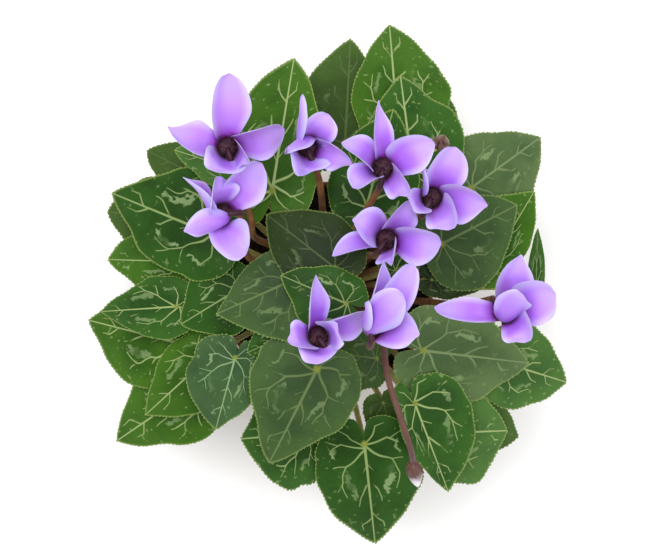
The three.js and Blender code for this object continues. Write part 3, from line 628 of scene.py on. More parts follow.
# Stems: where they leave the corm, and their routes
def crown_height(radius):
    return CORM.centre + CORM.half_height * math.sqrt(1 - (radius / CORM.radius) ** 2)


def free_spots(bearing, placed):
    """For each bearing near that of the aim, the outermost place on the crown that is clear of the others."""
    for turn in range(0, FOOT_SEARCH.widest + 1, FOOT_SEARCH.turn_step):
        for side in (1, -1):
            angle = bearing + side * math.radians(turn)
            radius = CORM.crown
            while radius > 0:
                spot = (radius * math.cos(angle), radius * math.sin(angle))
                if all(math.dist(other, spot) >= STEM.spacing for other in placed):
                    yield CORM.crown - radius + turn / FOOT_SEARCH.turn_per_cost, spot, radius
                    break
                radius -= FOOT_SEARCH.slide_step


def place_feet(stems):
    """The stem that goes furthest out gets the outermost free place in its direction on the crown."""
    placed = []
    for stem in sorted(stems, key=lambda stem: -math.hypot(stem.aim[0], stem.aim[1])):
        bearing = math.atan2(stem.aim[1], stem.aim[0])
        _, spot, radius = min(free_spots(bearing, placed), key=lambda found: found[0])
        placed.append(spot)
        stem.foot = np.array([*spot, crown_height(radius)])


def rising_route(stem):
    outward = np.array([stem.foot[0], stem.foot[1], 0]) * STEM.splay / CORM.crown
    start = unit(outward + (0, 0, 1))
    pull = STEM.pull * np.linalg.norm(stem.aim - stem.foot)
    arrival = unit((stem.aim - stem.foot) * (1, 1, 0)) * STEM.lean + (0, 0, 1)
    neck = stem.foot + STEM.neck * start
    corners = (neck, stem.foot + pull * start, stem.aim - pull * arrival, stem.aim)
    rising = [bezier(corners, step / STEM.steps)[0] for step in range(STEM.steps + 1)]
    return [stem.foot - STEM.root * start, *rising]


def tapered(stem, count):
    return stem.radius * np.linspace(stem.foot, stem.top, count)


def add_petiole(skin, leaf):
    path = smooth_path(rising_route(leaf.stem), PETIOLE.per_span)
    radii = tapered(PETIOLE, len(path))
    radii[-1] *= PETIOLE.end
    add_tube(skin, path, radii, material=2)


def add_stalk(skin, flower, bend=()):
    """The stalk of a bloom or bud, on its way between the leaves and round its bend."""
    path = smooth_path([*rising_route(flower.stem), *flower.way[1:], *bend])
    add_tube(skin, path, tapered(STALK, len(path)))
    return path


def add_stalk_hairs(skin, path, seed):
    random = np.random.default_rng(seed)
    frames = frames_along(path)
    for _ in range(STALK_HAIRS.count):
        k = random.integers(len(path) // 3, len(path) - 1)
        angle = random.uniform(0, 2 * np.pi)
        side, up = frames[k]
        outward = math.cos(angle) * side + math.sin(angle) * up
        start = path[k] + random.uniform(0, 1) * (path[k + 1] - path[k])
        root = start + STALK_HAIRS.depth * STALK.radius * outward
        lean = outward + random.normal(0, STALK_HAIRS.spread, 3)
        add_hair(skin, root, root + lean * STALK_HAIRS.length, STALK_HAIRS.radius)


# Blooms
def petal_corners(petal):
    """The four points that steer a petal's middle line, from its foot in the throat to its tip."""
    foot_bearing, tip_x, tip_y, _, rise, bend, *_ = petal
    foot = compass(foot_bearing)
    tip = np.array([tip_x, tip_y, 0.0])
    reach = np.linalg.norm(tip)
    side = np.array([-tip_y, tip_x, 0]) / reach
    up = np.array([0, 0, 1.0])
    out = PETAL.ring + PETAL.flare
    waist = max(PETAL.waist, (out + PETAL.clear) / reach)
    return (
        PETAL.ring * foot - PETAL.sunk * up,
        out * foot + PETAL.steep * rise * up,
        waist * tip + bend * side + (rise + PETAL.arch) * up,
        tip + rise * up,
    )


def petal_rows(petal):
    """Points of a petal's cupped middle surface, its normals and half widths, row by row from foot to tip."""
    foot_bearing, _, _, half_width, _, _, twist, point = petal
    corners = petal_corners(petal)
    t = np.linspace(-1, 1, PETAL.columns + 1)[:, None]
    across = compass(foot_bearing + 90)
    for row in range(PETAL.rows + 1):
        s = row / PETAL.rows
        middle, tangent = bezier(corners, s)
        across = unit(across - tangent * np.dot(across, tangent))
        side = turn_about(across, tangent, math.radians(twist) * s)
        normal = np.cross(tangent, side)
        grown = min(s / PETAL.full, 1)
        full = PETAL.claw + (half_width - PETAL.claw) * grown * grown * (3 - 2 * grown)
        past = max(0, (s - PETAL.taper) / (1 - PETAL.taper))
        narrow = (1 - past ** PETAL.round) ** (PETAL.blunt + PETAL.sharpen * point)
        half = full * max(PETAL.end, narrow)
        cup = mixed(PETAL.base_cup, PETAL.cup, grown)
        yield s, middle + side * t * half + normal * cup * half * t * t, normal, half


def petal_fold(s, t, half, shift):
    """How far a petal's points leave its cupped surface: frills, and how far one edge is over, one under."""
    frill = FRILL.height * half * s * np.abs(t) ** FRILL.power
    frill = frill * np.sin(FRILL.turn * s + FRILL.shift * np.sign(t) + shift)
    over = CURL.over * np.maximum(0, t) ** CURL.over_power
    roll = half * min(1, CURL.growth * s) * (over - CURL.under * np.minimum(0, t) ** 2)
    channel = CURL.channel * half * t * t * math.sin(math.pi * min(s / CURL.channel_end, 1))
    droop = CURL.tip * half * max(0, (s - CURL.tip_start) / (1 - CURL.tip_start)) ** 2
    return frill + roll + channel - droop, CURL.drawn * t * np.abs(roll + channel)


def add_petal(skin, petal, place, shift):
    t = np.linspace(-1, 1, PETAL.columns + 1)[:, None]
    rings = []
    marks = []
    for s, points, normal, half in petal_rows(petal):
        lifted, drawn = petal_fold(s, t, half, shift)
        points = points + normal * lifted - unit(points[-1] - points[0]) * drawn + place
        edge = 1 - PETAL_EDGE.thinner * np.abs(t) ** 3
        thick = 0.5 * PETAL.thickness * edge * min(1, PETAL_EDGE.end + PETAL_EDGE.growth * (1 - s))
        rings.append(np.concatenate([points + normal * thick, (points - normal * thick)[::-1]]))
        mark = np.concatenate([np.full_like(t, s), t, np.zeros_like(t)], axis=1)
        marks.append(np.concatenate([mark, mark[::-1]]))
    skin.add_stack(rings, rings[0].mean(axis=0), rings[-1].mean(axis=0), ring_marks=marks)


def add_throat(skin, place):
    radius, height = THROAT.radius, THROAT.height
    profile = [(out * radius, up * height) for out, up in THROAT_PROFILE]
    sides = THROAT.sides
    ribs = 1 + THROAT.rib * np.cos(THROAT.ribs * round_angles(sides))
    rings = [ring + place for ring in turned(profile, sides, ribs)]
    skin.add_stack(rings, place - (0, 0, THROAT.mouth * height), place + (0, 0, height), material=1)


def make_bloom(number, bloom):
    skin = Skin()
    for k, petal in enumerate(bloom.petals):
        add_petal(skin, petal, bloom.place, FRILL.petal_shift * k + number)
    add_throat(skin, bloom.place)
    skin.piece(f"bloom_{number}_fine", ["petal", "throat"], f"bloom_{number}", "petal")


def hook_points(bloom):
    """The stalk's bend, beside the bloom and over into its top."""
    turn = [(out * HOOK.reach, up * HOOK.rise) for out, up in HOOK_TURN]
    steps = [(HOOK.reach, -HOOK.below), *turn]
    return [bloom.place + out * compass(bloom.side) + (0, 0, height) for out, height in steps]


def add_calyx(skin, bloom, seed):
    """Five pointed lobes that clasp the corolla's base, with fine hairs."""
    place = bloom.place + (0, 0, THROAT.height + CALYX.seat)
    angles = round_angles(CALYX.sides)
    turn = (angles * CALYX.lobes / (2 * np.pi) + 0.5) % 1 - 0.5
    pointed = (1 - 2 * np.abs(turn)) ** CALYX.sharp
    rim = mixed(CALYX.notch, CALYX.tip, pointed)
    top = []
    for share in CALYX.rings:
        bend = CALYX.keel * share - CALYX.droop * share ** 3
        z = CALYX.height * (1 - share ** 2) + bend * pointed
        top.append(np.stack([share * rim * np.cos(angles), share * rim * np.sin(angles), z], 1) + place)
    top = np.array(top)
    peak = place + (0, 0, CALYX.height)
    down = (0, 0, CALYX.thickness)
    skin.add_stack(np.concatenate([top, (top - down)[::-1]]), peak, peak - down, material=1)
    random = np.random.default_rng(seed)
    for _ in range(CALYX_HAIRS.count):
        row = random.integers(1, len(top))
        root = top[row, random.integers(len(angles))]
        lean = random.normal(0, CALYX_HAIRS.spread, 3) + (0, 0, CALYX_HAIRS.up)
        lean = unit(lean + CALYX_HAIRS.out * unit(root - place))
        length = random.uniform(CALYX_HAIRS.shortest, CALYX_HAIRS.longest)
        add_hair(skin, root, root + lean * length, CALYX_HAIRS.radius)


def make_stalk(number, bloom):
    skin = Skin()
    path = add_stalk(skin, bloom, hook_points(bloom))
    add_calyx(skin, bloom, number)
    add_stalk_hairs(skin, path, SEEDS.stalk + number)
    skin.piece(f"stalk_{number}_fine", ["stalk", "calyx", "hair"], f"bloom_stalk_{number}", "stalk")


# Buds
def add_bud(skin, bud, end, axis, side, up):
    """The closed bud, whose folds wind round it."""
    angles = round_angles(BUD_FOLDS.sides)
    rings = []
    marks = []
    for r, z, _ in smooth_path([(r, z, 0) for r, z in BUD_PROFILE], BUD_FOLDS.per_span):
        fold = 1 + BUD_FOLDS.height * z * np.cos(BUD_FOLDS.count * angles + BUD_FOLDS.twist * z)
        rings.append(ring_about(end + axis * z * bud.length, side, up, angles, bud.radius * r * fold))
        marks.append([(z, 0, 0)] * len(angles))
    foot = end - BUD_FOLDS.foot * bud.length * axis
    skin.add_stack(rings, foot, end + axis * bud.length, material=1, ring_marks=marks)


def add_sepals(skin, bud, end, axis, side, up):
    for angle in round_angles(CALYX.lobes):
        outward = math.cos(angle) * side + math.sin(angle) * up
        route = [end + axis * z * bud.length + outward * bud.radius * r for r, z in SEPAL.route]
        path = smooth_path(route, SEPAL.per_span)
        add_tube(skin, path, np.linspace(SEPAL.wide, SEPAL.end, len(path)), SEPAL.sides)


def make_bud(bud):
    skin = Skin()
    path = add_stalk(skin, bud)
    axis = unit(np.array(bud.axis, float))
    side = unit(np.cross(axis, (1, 0.2, 0)))
    up = np.cross(axis, side)
    add_bud(skin, bud, path[-1], axis, side, up)
    add_sepals(skin, bud, path[-1], axis, side, up)
    add_stalk_hairs(skin, path, SEEDS.bud + len(bud.way))
    skin.piece(f"{bud.name}_fine", ["bud_stalk", bud.material, "hair"], bud.name, "stalk")


# Pot, soil and corm
def pot_corners():
    """Radius and height of the corners of the pot's section."""
    rim, base, wall, height = POT.rim, POT.base, POT.wall, POT.height
    neck = rim - POT.collar_step
    step = height - POT.collar
    band = POT.band
    return {
        "foot": (base, 0), "band": (mixed(base, neck, band / step), band), "neck": (neck, step),
        "collar": (rim, step), "rim": (rim, height), "mouth": (rim - wall, height),
        "inner_neck": (neck - wall, step), "floor": (base - wall, POT.floor),
    }


def pot_inside(z):
    """The radius of what fits in the pot at a height."""
    neck = POT.rim - POT.collar_step
    top = POT.height - POT.collar - POT.shoulder
    share = (z - POT.floor) / (top - POT.floor)
    return mixed(POT.base, neck, share) - POT.wall - GAP


def make_pot():
    corners = pot_corners()
    middle = POT.middle * POT.base
    profile = [(middle, 0)]
    for corner, offsets in POT_SECTION:
        radius, height = corners[corner]
        profile += [(radius + out, height + up) for out, up in offsets]
    profile.append((middle, POT.floor))
    skin = Skin()
    skin.add_stack(turned(profile, POT.sides), (0, 0, 0), (0, 0, POT.floor))
    pot = skin.piece("pot_fine", ["pot"], "pot", "pot", POT.sharp)
    cut_with(pot, drain_holes())


def drain_holes():
    drill = Skin()
    low, high = -POT.floor, 2 * POT.floor
    bore = turned([(POT.drain_radius, low), (POT.drain_radius, high)], POT.drain_sides)
    for hole in range(POT.drains):
        place = POT.drain_ring * compass(360 * hole / POT.drains)
        drill.add_stack([ring + place for ring in bore], place + (0, 0, low), place + (0, 0, high))
    return drill


def cut_with(piece, drill):
    """Takes the drill's bodies out of the piece, and leaves a plain mesh."""
    tool = add_object("drill", drill.mesh("drill"))
    cut = piece.modifiers.new("drains", "BOOLEAN")
    cut.operation = "DIFFERENCE"
    cut.object = tool
    cut.solver = "EXACT"
    view = bpy.context.evaluated_depsgraph_get()
    drained = bpy.data.meshes.new_from_object(piece.evaluated_get(view))
    piece.modifiers.clear()
    piece.data = drained
    bpy.data.objects.remove(tool)


def soil_level(radius):
    """A flat mound that slopes to the edge."""
    return mixed(SOIL.mound, SOIL.edge, np.clip((radius - SOIL.flat) / SOIL.bank, 0, 1))


def make_soil():
    skin = Skin()
    random = np.random.default_rng(SEEDS.soil)
    sides = SOIL.sides
    angles = round_angles(sides)
    outer = pot_inside(SOIL.edge) - SOIL.clear
    top = []
    for reach in outer * np.linspace(SOIL.inner, 1, SOIL.rings):
        x = reach * np.cos(angles)
        y = reach * np.sin(angles)
        rough = SOIL.ripple * ripple(SOIL.pitch * x, SOIL.pitch * y)
        rough = rough + random.uniform(-SOIL.grain, SOIL.grain, sides)
        top.append(np.stack([x, y, soil_level(reach) + rough], 1))
    low = POT.floor + GAP
    wall = [
        (pot_inside(SOIL.edge - SOIL.step), SOIL.edge - SOIL.drop),
        (pot_inside(SOIL.middle), SOIL.middle),
        (pot_inside(low) - SOIL.inset, low),
    ]
    skin.add_stack([*top, *turned(wall, sides)], (0, 0, SOIL.mound - SOIL.dip), (0, 0, low))
    for _ in range(CRUMB.count):
        add_crumb(skin, outer, random)
    skin.piece("soil_fine", ["soil", "grit"], "soil", "soil", SOIL.sharp)


def add_crumb(skin, outer, random):
    """A small uneven lump that is half sunk in the soil, here and there a white one."""
    angle = random.uniform(0, 2 * np.pi)
    reach = outer * math.sqrt(random.uniform(CRUMB.inner, CRUMB.outer))
    size = random.uniform(CRUMB.smallest, CRUMB.largest)
    level = soil_level(reach) + CRUMB.sunk * size
    place = np.array([reach * math.cos(angle), reach * math.sin(angle), level])
    rings = [
        ring * size * random.uniform(CRUMB.low, CRUMB.high, (CRUMB.sides, 1)) + place
        for ring in turned(CRUMB.profile, CRUMB.sides)
    ]
    material = 1 if random.uniform() < CRUMB.white else 0
    skin.add_stack(rings, place - (0, 0, CRUMB.foot * size), place + (0, 0, CRUMB.top * size), material)


def make_corm():
    skin = Skin()
    angles = round_angles(CORM.sides)
    centre = np.array([0, 0, CORM.centre])
    size = np.array([CORM.radius, CORM.radius, CORM.half_height])
    rings = []
    for row in range(1, CORM.rows):
        lift = math.pi * (row / CORM.rows - 0.5)
        z = np.full(len(angles), math.sin(lift))
        ball = np.stack([math.cos(lift) * np.cos(angles), math.cos(lift) * np.sin(angles), z], 1)
        cracks = np.sin(CORM.cracks * angles + CORM.slant * z) + ripple(*(CORM.pitch * ball.T))
        knobs = 1 + CORM.rough * (cracks + np.sin(CORM.knobs * angles))
        rings.append(ball * size * CORM.inside * knobs[:, None] + centre)
    low = (0, 0, CORM.centre - CORM.half_height)
    high = (0, 0, CORM.centre + CORM.inside * CORM.half_height)
    skin.add_stack(rings, low, high)
    skin.piece("corm_fine", ["corm"], "corm", "corm")


# Materials
def rgb(red, green, blue):
    """A colour given as a screen shows it, made linear."""
    linear = [((c / 255 + 0.055) / 1.055) ** 2.4 if c > 10 else c / 255 / 12.92 for c in (red, green, blue)]
    return (*linear, 1)


class Graph:
    """Builds a material's nodes."""

    def __init__(self, name, roughness):
        self.material = bpy.data.materials.new(name)
        self.material.use_nodes = True
        self.tree = self.material.node_tree
        self.shader = self.tree.nodes["Principled BSDF"]
        self.shader.inputs["Roughness"].default_value = roughness

    def node(self, kind, settings=None, inputs=None):
        node = self.tree.nodes.new(kind)
        for name, value in (settings or {}).items():
            setattr(node, name, value)
        for name, value in (inputs or {}).items():
            self.feed(node.inputs[name], value)
        return node

    def feed(self, socket, value):
        if isinstance(value, bpy.types.NodeSocket):
            self.tree.links.new(value, socket)
        else:
            socket.default_value = rgb(*value) if socket.type == "RGBA" else value

    def math(self, operation, *values):
        node = self.node("ShaderNodeMath", {"operation": operation}, dict(enumerate(values)))
        return node.outputs[0]

    def times(self, first, second):
        return self.math("MULTIPLY", first, second)

    def scaled(self, value, factor, added):
        """The value times a factor, plus what is added."""
        return self.math("MULTIPLY_ADD", value, factor, added)

    def extreme(self, operation, values):
        """The lowest or the highest of some values."""
        return functools.reduce(functools.partial(self.math, operation), values)

    def clamped(self, value):
        return self.node("ShaderNodeClamp", None, {"Value": value}).outputs[0]

    def step(self, value, low, high, out_low=0.0, out_high=1.0):
        """A smooth step from out_low where the value is low to out_high where it is high."""
        inputs = {"Value": value, "From Min": low, "From Max": high, "To Min": out_low, "To Max": out_high}
        return self.node("ShaderNodeMapRange", {"interpolation_type": "SMOOTHSTEP"}, inputs).outputs[0]

    def mix(self, share, first, second):
        node = self.node("ShaderNodeMix", {"data_type": "RGBA"})
        for socket, value in zip((0, 6, 7), (share, first, second)):
            self.feed(node.inputs[socket], value)
        return node.outputs[2]

    def vector(self, operation, *values):
        node = self.node("ShaderNodeVectorMath", {"operation": operation}, dict(enumerate(values)))
        return node.outputs["Value" if operation in ("DOT_PRODUCT", "LENGTH") else "Vector"]

    def flat(self, x, y):
        return self.node("ShaderNodeCombineXYZ", None, {"X": x, "Y": y}).outputs[0]

    def place(self):
        return self.node("ShaderNodeTexCoord").outputs["Object"]

    def noise(self, scale, detail, output=0):
        inputs = {"Vector": self.place(), "Scale": scale, "Detail": detail}
        return self.node("ShaderNodeTexNoise", None, inputs).outputs[output]

    def centred_noise(self, scale):
        return self.math("SUBTRACT", self.noise(scale, 1), 0.5)

    def mottled(self, scale, detail, first, second):
        """Two colours mixed by noise."""
        return self.mix(self.step(self.noise(scale, detail), 0.3, 0.7), first, second)

    def cells(self, scale):
        """Distance to the borders of small cells."""
        inputs = {"Vector": self.place(), "Scale": scale}
        return self.node("ShaderNodeTexVoronoi", {"feature": "DISTANCE_TO_EDGE"}, inputs).outputs[0]

    def marks(self):
        """The three numbers that a piece's points carry."""
        read = self.node("ShaderNodeAttribute", {"attribute_name": "marks"})
        split = self.node("ShaderNodeSeparateXYZ", None, {"Vector": read.outputs["Vector"]})
        return split.outputs[0], split.outputs[1], split.outputs[2]

    def bump(self, height, distance, strength=1.0):
        inputs = {"Height": height, "Distance": distance, "Strength": strength}
        self.feed(self.shader.inputs["Normal"], self.node("ShaderNodeBump", None, inputs).outputs[0])

    def colour(self, value):
        self.feed(self.shader.inputs["Base Color"], value)

    def finish(self, **sockets):
        for name, value in sockets.items():
            self.shader.inputs[name.replace("_", " ")].default_value = value
        return self.material


# Scales of the noises on a leaf, in waves to the metre
GRAIN = Group(
    bend=48, drift=61, broken=90, net=330, fray=300, comb=520, marble=64, fleck=430,
    shade=52, fine=900,
)
# How far veins and patches stray from their lines and outlines, in lengths of the blade
STRAY = Group(bend=0.2, stagger=0.018, drift=0.22, drift_from=0.2, fray=0.13)
CREAM = (140, 158, 100)
SILVER = (124, 146, 98)
HUB_COLOUR = (112, 122, 44)
RIM_COLOUR = (124, 144, 74)

# Colourings of the leaves: dark and light green, the veins' colour, how much silver shows, and how clear the
# veins and the rim are
COLOURINGS = {
    "bright": ((35, 70, 5), (55, 93, 15), CREAM, 0.5, 1),
    "middle": ((27, 60, 12), (45, 83, 23), CREAM, 0.5, 1),
    "dark": ((22, 52, 5), (36, 73, 15), (122, 142, 86), 0.75, 1),
    "deep": ((41, 61, 20), (56, 82, 29), (84, 102, 58), 0.25, 0.65),
    "dusky": ((42, 63, 32), (58, 82, 40), (98, 116, 70), 0.4, 0.75),
    "slate": ((22, 36, 9), (34, 50, 16), (76, 92, 58), 0.3, 0.65),
    "pale": ((45, 79, 30), (65, 101, 41), CREAM, 0.55, 1),
    # Grey-green leaves, whose grey cast is partly a painted reflection of their satin sheen
    "sheen_grey": ((57, 79, 43), (79, 101, 58), (116, 134, 90), 0.6, 0.75),
    "blue": ((39, 65, 35), (58, 85, 47), (118, 146, 102), 0.7, 1),
}

# Plain materials: two colours, the scale of their mottling in waves to the metre, roughness, and depth of the
# bump in metres
PLAIN = {
    "leaf_under": ((105, 121, 80), (128, 140, 101), 80, 0.6, 0.0003),
    # The throat: its own dark maroon, kept this dark as painted shade in the bloom's hollow
    "throat": ((45, 13, 34), (73, 29, 57), 420, 0.6, 0.0003),
    "calyx": ((41, 14, 25), (68, 32, 37), 300, 0.7, 0.0004),
    "hair": ((112, 82, 84), (132, 102, 102), 300, 0.6, 0.0001),
    "corm": ((61, 39, 25), (103, 73, 48), 120, 0.9, 0.001),
    "soil": ((25, 18, 13), (53, 39, 29), 300, 1.0, 0.001),
    "grit": ((170, 164, 150), (212, 206, 192), 300, 0.9, 0.0005),
    "pot": ((123, 64, 43), (133, 73, 50), 40, 0.55, 0.0002),
    "floor_white": ((250, 250, 250), (252, 252, 252), 3, 0.9, 0.0001),
}


def near_run(graph, spot, points, wide, narrow):
    """Distance to a run of points over its half width, which shrinks from the first to the last."""
    thinner = (narrow - wide) / (len(points) - 1)
    ratios = []
    for k, (start, end) in enumerate(zip(points, points[1:])):
        run = np.array([end[0] - start[0], end[1] - start[1], 0])
        away = graph.vector("SUBTRACT", spot, (*start, 0))
        share = graph.clamped(graph.vector("DOT_PRODUCT", away, run / (run @ run)))
        off = graph.vector("LENGTH", graph.vector("MULTIPLY_ADD", -run, share, away))
        ratios.append(graph.math("DIVIDE", off, graph.scaled(share, thinner, wide + k * thinner)))
    return graph.extreme("MINIMUM", ratios)


def patch_mask(graph, spot, patch, teeth):
    """A silver patch with a smooth inner edge and an outer edge that frays into a comb."""
    start, end, half, comb = patch
    run = (end[0] - start[0], end[1] - start[1])
    hand = math.copysign(1 / math.hypot(*run), run[0])
    away = graph.vector("SUBTRACT", spot, (*start, 0))
    outward = graph.vector("DOT_PRODUCT", away, (-run[1] * hand, run[0] * hand, 0))
    outward = graph.math("MAXIMUM", outward, 0.0)
    frayed = graph.times(graph.times(outward, teeth), comb / half)
    ratio = near_run(graph, spot, [start, end], half, 0.8 * half)
    return graph.step(graph.scaled(frayed, 1 / half, ratio), 1.3, 0.6)


def blade_spots(graph, along, across):
    """Where a point lies beside the midrib, first with places that stray a little, then as it is."""
    side = graph.math("ABSOLUTE", across)
    bent = graph.scaled(graph.centred_noise(GRAIN.bend), STRAY.bend, along)
    bent = graph.scaled(graph.math("SIGN", across), STRAY.stagger, bent)
    loose = graph.step(side, 0.0, STRAY.drift_from, 0.0, STRAY.drift)
    drift = graph.times(graph.centred_noise(GRAIN.drift), loose)
    return graph.flat(bent, graph.math("ADD", side, drift)), graph.flat(along, side)


def vein_mask(graph, stray, plain, clarity):
    """The midrib, the main side veins, and broken ribs between them."""
    midrib = graph.step(near_run(graph, plain, *VEINS[0]), 1.25, 0.6)
    laterals = graph.extreme("MINIMUM", [near_run(graph, stray, *row) for row in VEINS[1:]])
    laterals = graph.step(laterals, 1.3, 0.55)
    ribs = graph.extreme("MINIMUM", [near_run(graph, stray, *row) for row in RIBS])
    ribs = graph.times(graph.step(ribs, 1.3, 0.5), graph.step(graph.noise(GRAIN.broken, 2), 0.36, 0.5))
    shares = ((midrib, 0.95), (laterals, 0.88), (ribs, 0.8))
    return graph.extreme("MAXIMUM", [graph.times(mask, share * clarity) for mask, share in shares])


def silver_mask(graph, stray, silver):
    """Ragged patches between the veins, marbled by noise."""
    fray = STRAY.fray
    noise = graph.noise(GRAIN.fray, 2, "Color")
    frayed = graph.vector("MULTIPLY_ADD", noise, (fray, fray, 0), (-fray / 2, -fray / 2, 0))
    ragged = graph.vector("ADD", stray, frayed)
    teeth = graph.step(graph.noise(GRAIN.comb, 1), 0.4, 0.6)
    patches = graph.extreme("MAXIMUM", [patch_mask(graph, ragged, row, teeth) for row in PATCHES])
    marbled = graph.step(graph.noise(GRAIN.marble, 1), 0.38, 0.52, 0.15 * silver, silver)
    return graph.times(patches, marbled)


def leaf_paint(name, dark, light, vein, silver, clarity):
    """Cream veins that fork, silver patches between them, small flecks and a pale rim."""
    graph = Graph(f"leaf_{name}", 0.5)
    along, across, reach = graph.marks()
    stray, plain = blade_spots(graph, along, across)
    veins = vein_mask(graph, stray, plain, clarity)
    net = graph.times(graph.step(graph.cells(GRAIN.net), 0.09, 0.02), 0.13)
    flecks = graph.times(graph.step(graph.noise(GRAIN.fleck, 0), 0.7, 0.8), graph.step(reach, 0.5, 0.8))
    shade = graph.scaled(reach, 0.42, graph.noise(GRAIN.shade, 3))
    body = graph.mix(graph.step(shade, 0.52, 1.0), dark, light)
    body = graph.mix(net, body, light)
    body = graph.mix(silver_mask(graph, stray, silver), body, SILVER)
    body = graph.mix(graph.times(flecks, 0.4), body, vein)
    body = graph.mix(veins, body, vein)
    body = graph.mix(graph.step(graph.vector("LENGTH", plain), 0.05, 0.015), body, HUB_COLOUR)
    body = graph.mix(graph.step(reach, 0.968, 0.996, 0.0, 0.7 * clarity), body, RIM_COLOUR)
    graph.colour(body)
    raised = graph.scaled(veins, -0.5, graph.times(graph.noise(GRAIN.fine, 2), 0.3))
    graph.bump(graph.scaled(net, -1.2, raised), 0.0005, 0.7)
    return graph.finish(Specular_IOR_Level=0.12)


def plain_paint(name, first, second, scale, roughness, bump_depth):
    """Two colours mottled by noise, with a fine bump."""
    graph = Graph(name, roughness)
    graph.colour(graph.mottled(scale, 4, first, second))
    graph.bump(graph.noise(4 * scale, 3), bump_depth)
    return graph.finish()


def petal_paint():
    """A dark eye at the foot and deep violet after it, the petal's own colours darkened further as painted
    shade of the hollow round the throat; paler from the middle on, and palest at the edges as a painted
    highlight on the curled rims.
    """
    graph = Graph("petal", 0.6)
    s, t, _ = graph.marks()
    body = graph.mix(graph.step(graph.noise(45, 2), 0.35, 0.65), (152, 98, 211), (165, 120, 215))
    body = graph.mix(graph.step(s, 0.45, 0.95, 0.0, 0.7), body, (171, 155, 217))
    # Palest at the edges: lightened as a painted highlight where the curled rims catch the light
    body = graph.mix(graph.step(graph.math("ABSOLUTE", t), 0.5, 1.0, 0.0, 0.8), body, (185, 177, 224))
    # Deep violet at the foot: the petal's own colour, darkened further as painted shade in the hollow round
    # the throat
    body = graph.mix(graph.step(s, 0.42, 0.12), body, (136, 60, 190))
    # Dark eye streaked over the foot: the petal's own eye, widened as painted shade of the bloom's hollow
    streaks = graph.scaled(graph.noise(420, 2), 0.16, s)
    graph.colour(graph.mix(graph.step(streaks, 0.32, 0.16), body, (58, 14, 52)))
    graph.bump(graph.noise(300, 2), 0.0001, 0.4)
    return graph.finish(
        Sheen_Weight=0.1, Sheen_Roughness=0.4, Subsurface_Weight=0.15, Subsurface_Scale=0.004,
        Specular_IOR_Level=0.25,
    )


def stem_paint(name, low, high, end, turns, grain=(160, 4), fine=(640, 3), roughness=0.55, gloss=0.3):
    """Mottled along its length, and another colour past where it turns."""
    graph = Graph(name, roughness)
    s, _, _ = graph.marks()
    graph.colour(graph.mix(graph.step(s, *turns), graph.mottled(*grain, low, high), end))
    graph.bump(graph.noise(*fine), 0.0003)
    return graph.finish(Specular_IOR_Level=gloss)


def bud_paint(name, base, tip):
    graph = Graph(name, 0.5)
    s, _, _ = graph.marks()
    mottled = graph.scaled(graph.noise(260, 3), 0.4, s)
    graph.colour(graph.mix(graph.step(mottled, 0.5, 0.95), base, tip))
    graph.bump(graph.noise(600, 2), 0.0003)
    return graph.finish()


PAINT = {
    **{name: leaf_paint(name, *row) for name, row in COLOURINGS.items()},
    **{name: plain_paint(name, *row) for name, row in PLAIN.items()},
    "petal": petal_paint(),
    "petiole": stem_paint(
        "petiole", (132, 120, 58), (158, 150, 84), (126, 78, 58), (0.55, 0.15), (120, 3), (700, 2), 0.5, 0.5,
    ),
    # The stalk's maroon end by the bloom is darkened further as painted shade where it bends over into the
    # bloom
    "stalk": stem_paint("stalk", (84, 46, 22), (118, 80, 38), (50, 20, 28), (0.8, 0.94)),
    "bud_stalk": stem_paint("bud_stalk", (80, 50, 40), (96, 62, 52), (84, 54, 52), (0.8, 0.94)),
    "bud_pale": bud_paint("bud_pale", (80, 50, 42), (216, 206, 216)),
    "bud_brown": bud_paint("bud_brown", (98, 76, 56), (134, 112, 84)),
}

# The stage in metres: a pale floor, soft studio light and a camera that looks straight down
FLOOR_HALF = 4.0
SKY_STRENGTH = 0.72
LIGHT_AIM = np.array([0, 0, 0.1])
# Lights: name, place, size and power
LIGHTS = [("key", (-0.4, 0.5, 2.4), 2.0, 56), ("fill", (1.2, -0.6, 1.8), 1.6, 16)]
CAMERA = Group(
    x=0.001, y=0.0045, distance=10.0, focus_height=0.13, frame_width=0.3265, sensor=36, far=100,
)


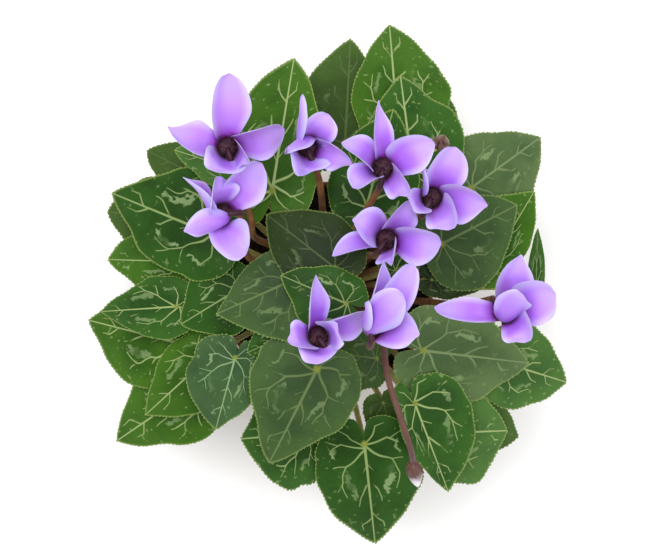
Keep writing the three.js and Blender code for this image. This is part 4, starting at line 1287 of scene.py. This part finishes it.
def make_floor():
    mesh = bpy.data.meshes.new("floor")
    corners = [(FLOOR_HALF * x, FLOOR_HALF * y, 0) for x, y in ((-1, -1), (1, -1), (1, 1), (-1, 1))]
    mesh.from_pydata(corners, [], [(0, 1, 2, 3)])
    mesh.materials.append(PAINT["floor_white"])
    floor = add_object("floor", mesh)


def make_light(name, place, size, power):
    """A round soft light that points at the middle of the plant."""
    lamp = bpy.data.lights.new(name, "AREA")
    lamp.shape = "DISK"
    lamp.size = size
    lamp.energy = power
    light = add_object(name, lamp)
    light.location = place
    x, y, z = unit(LIGHT_AIM - place)
    light.rotation_euler = (math.acos(-z), 0, math.atan2(-x, y))


def make_world():
    world = bpy.data.worlds.new("studio")
    world.use_nodes = True
    sky = world.node_tree.nodes["Background"]
    sky.inputs["Color"].default_value = (1, 1, 1, 1)
    sky.inputs["Strength"].default_value = SKY_STRENGTH
    bpy.context.scene.world = world


def make_camera():
    lens = bpy.data.cameras.new("camera")
    lens.sensor_width = CAMERA.sensor
    lens.lens = CAMERA.sensor * (CAMERA.distance - CAMERA.focus_height) / CAMERA.frame_width
    lens.clip_end = CAMERA.far
    camera = add_object("camera", lens)
    camera.location = (CAMERA.x, CAMERA.y, CAMERA.distance)
    bpy.context.scene.camera = camera


# The plant in its pot
leaves = [Leaf(index, *row) for index, row in enumerate(LEAVES)]
lay_leaves(leaves)
for leaf in leaves:
    leaf.stem = Group(aim=leaf.hub_point(BLADE.stem_sunk))
blooms = [
    Group(place=np.array([*centre, mouth], float), way=way, side=side, petals=petals)
    for centre, mouth, way, side, petals in BLOOMS
]
for flower in blooms + BUDS:
    flower.stem = Group(aim=np.array(flower.way[0], float))
place_feet([plant.stem for plant in leaves + blooms + BUDS])

for leaf in leaves:
    skin = Skin()
    add_blade(skin, leaf)
    add_petiole(skin, leaf)
    node = f"leaf_{leaf.index + 1:02d}"
    skin.piece(f"{node}_fine", [leaf.colouring, "leaf_under", "petiole"], node, "leaf")
for number, bloom in enumerate(blooms, 1):
    make_bloom(number, bloom)
    make_stalk(number, bloom)
for bud in BUDS:
    make_bud(bud)
make_corm()
make_soil()
make_pot()

make_floor()
make_world()
for light in LIGHTS:
    make_light(*light)
make_camera()
bpy.context.scene.view_settings.view_transform = "Standard"
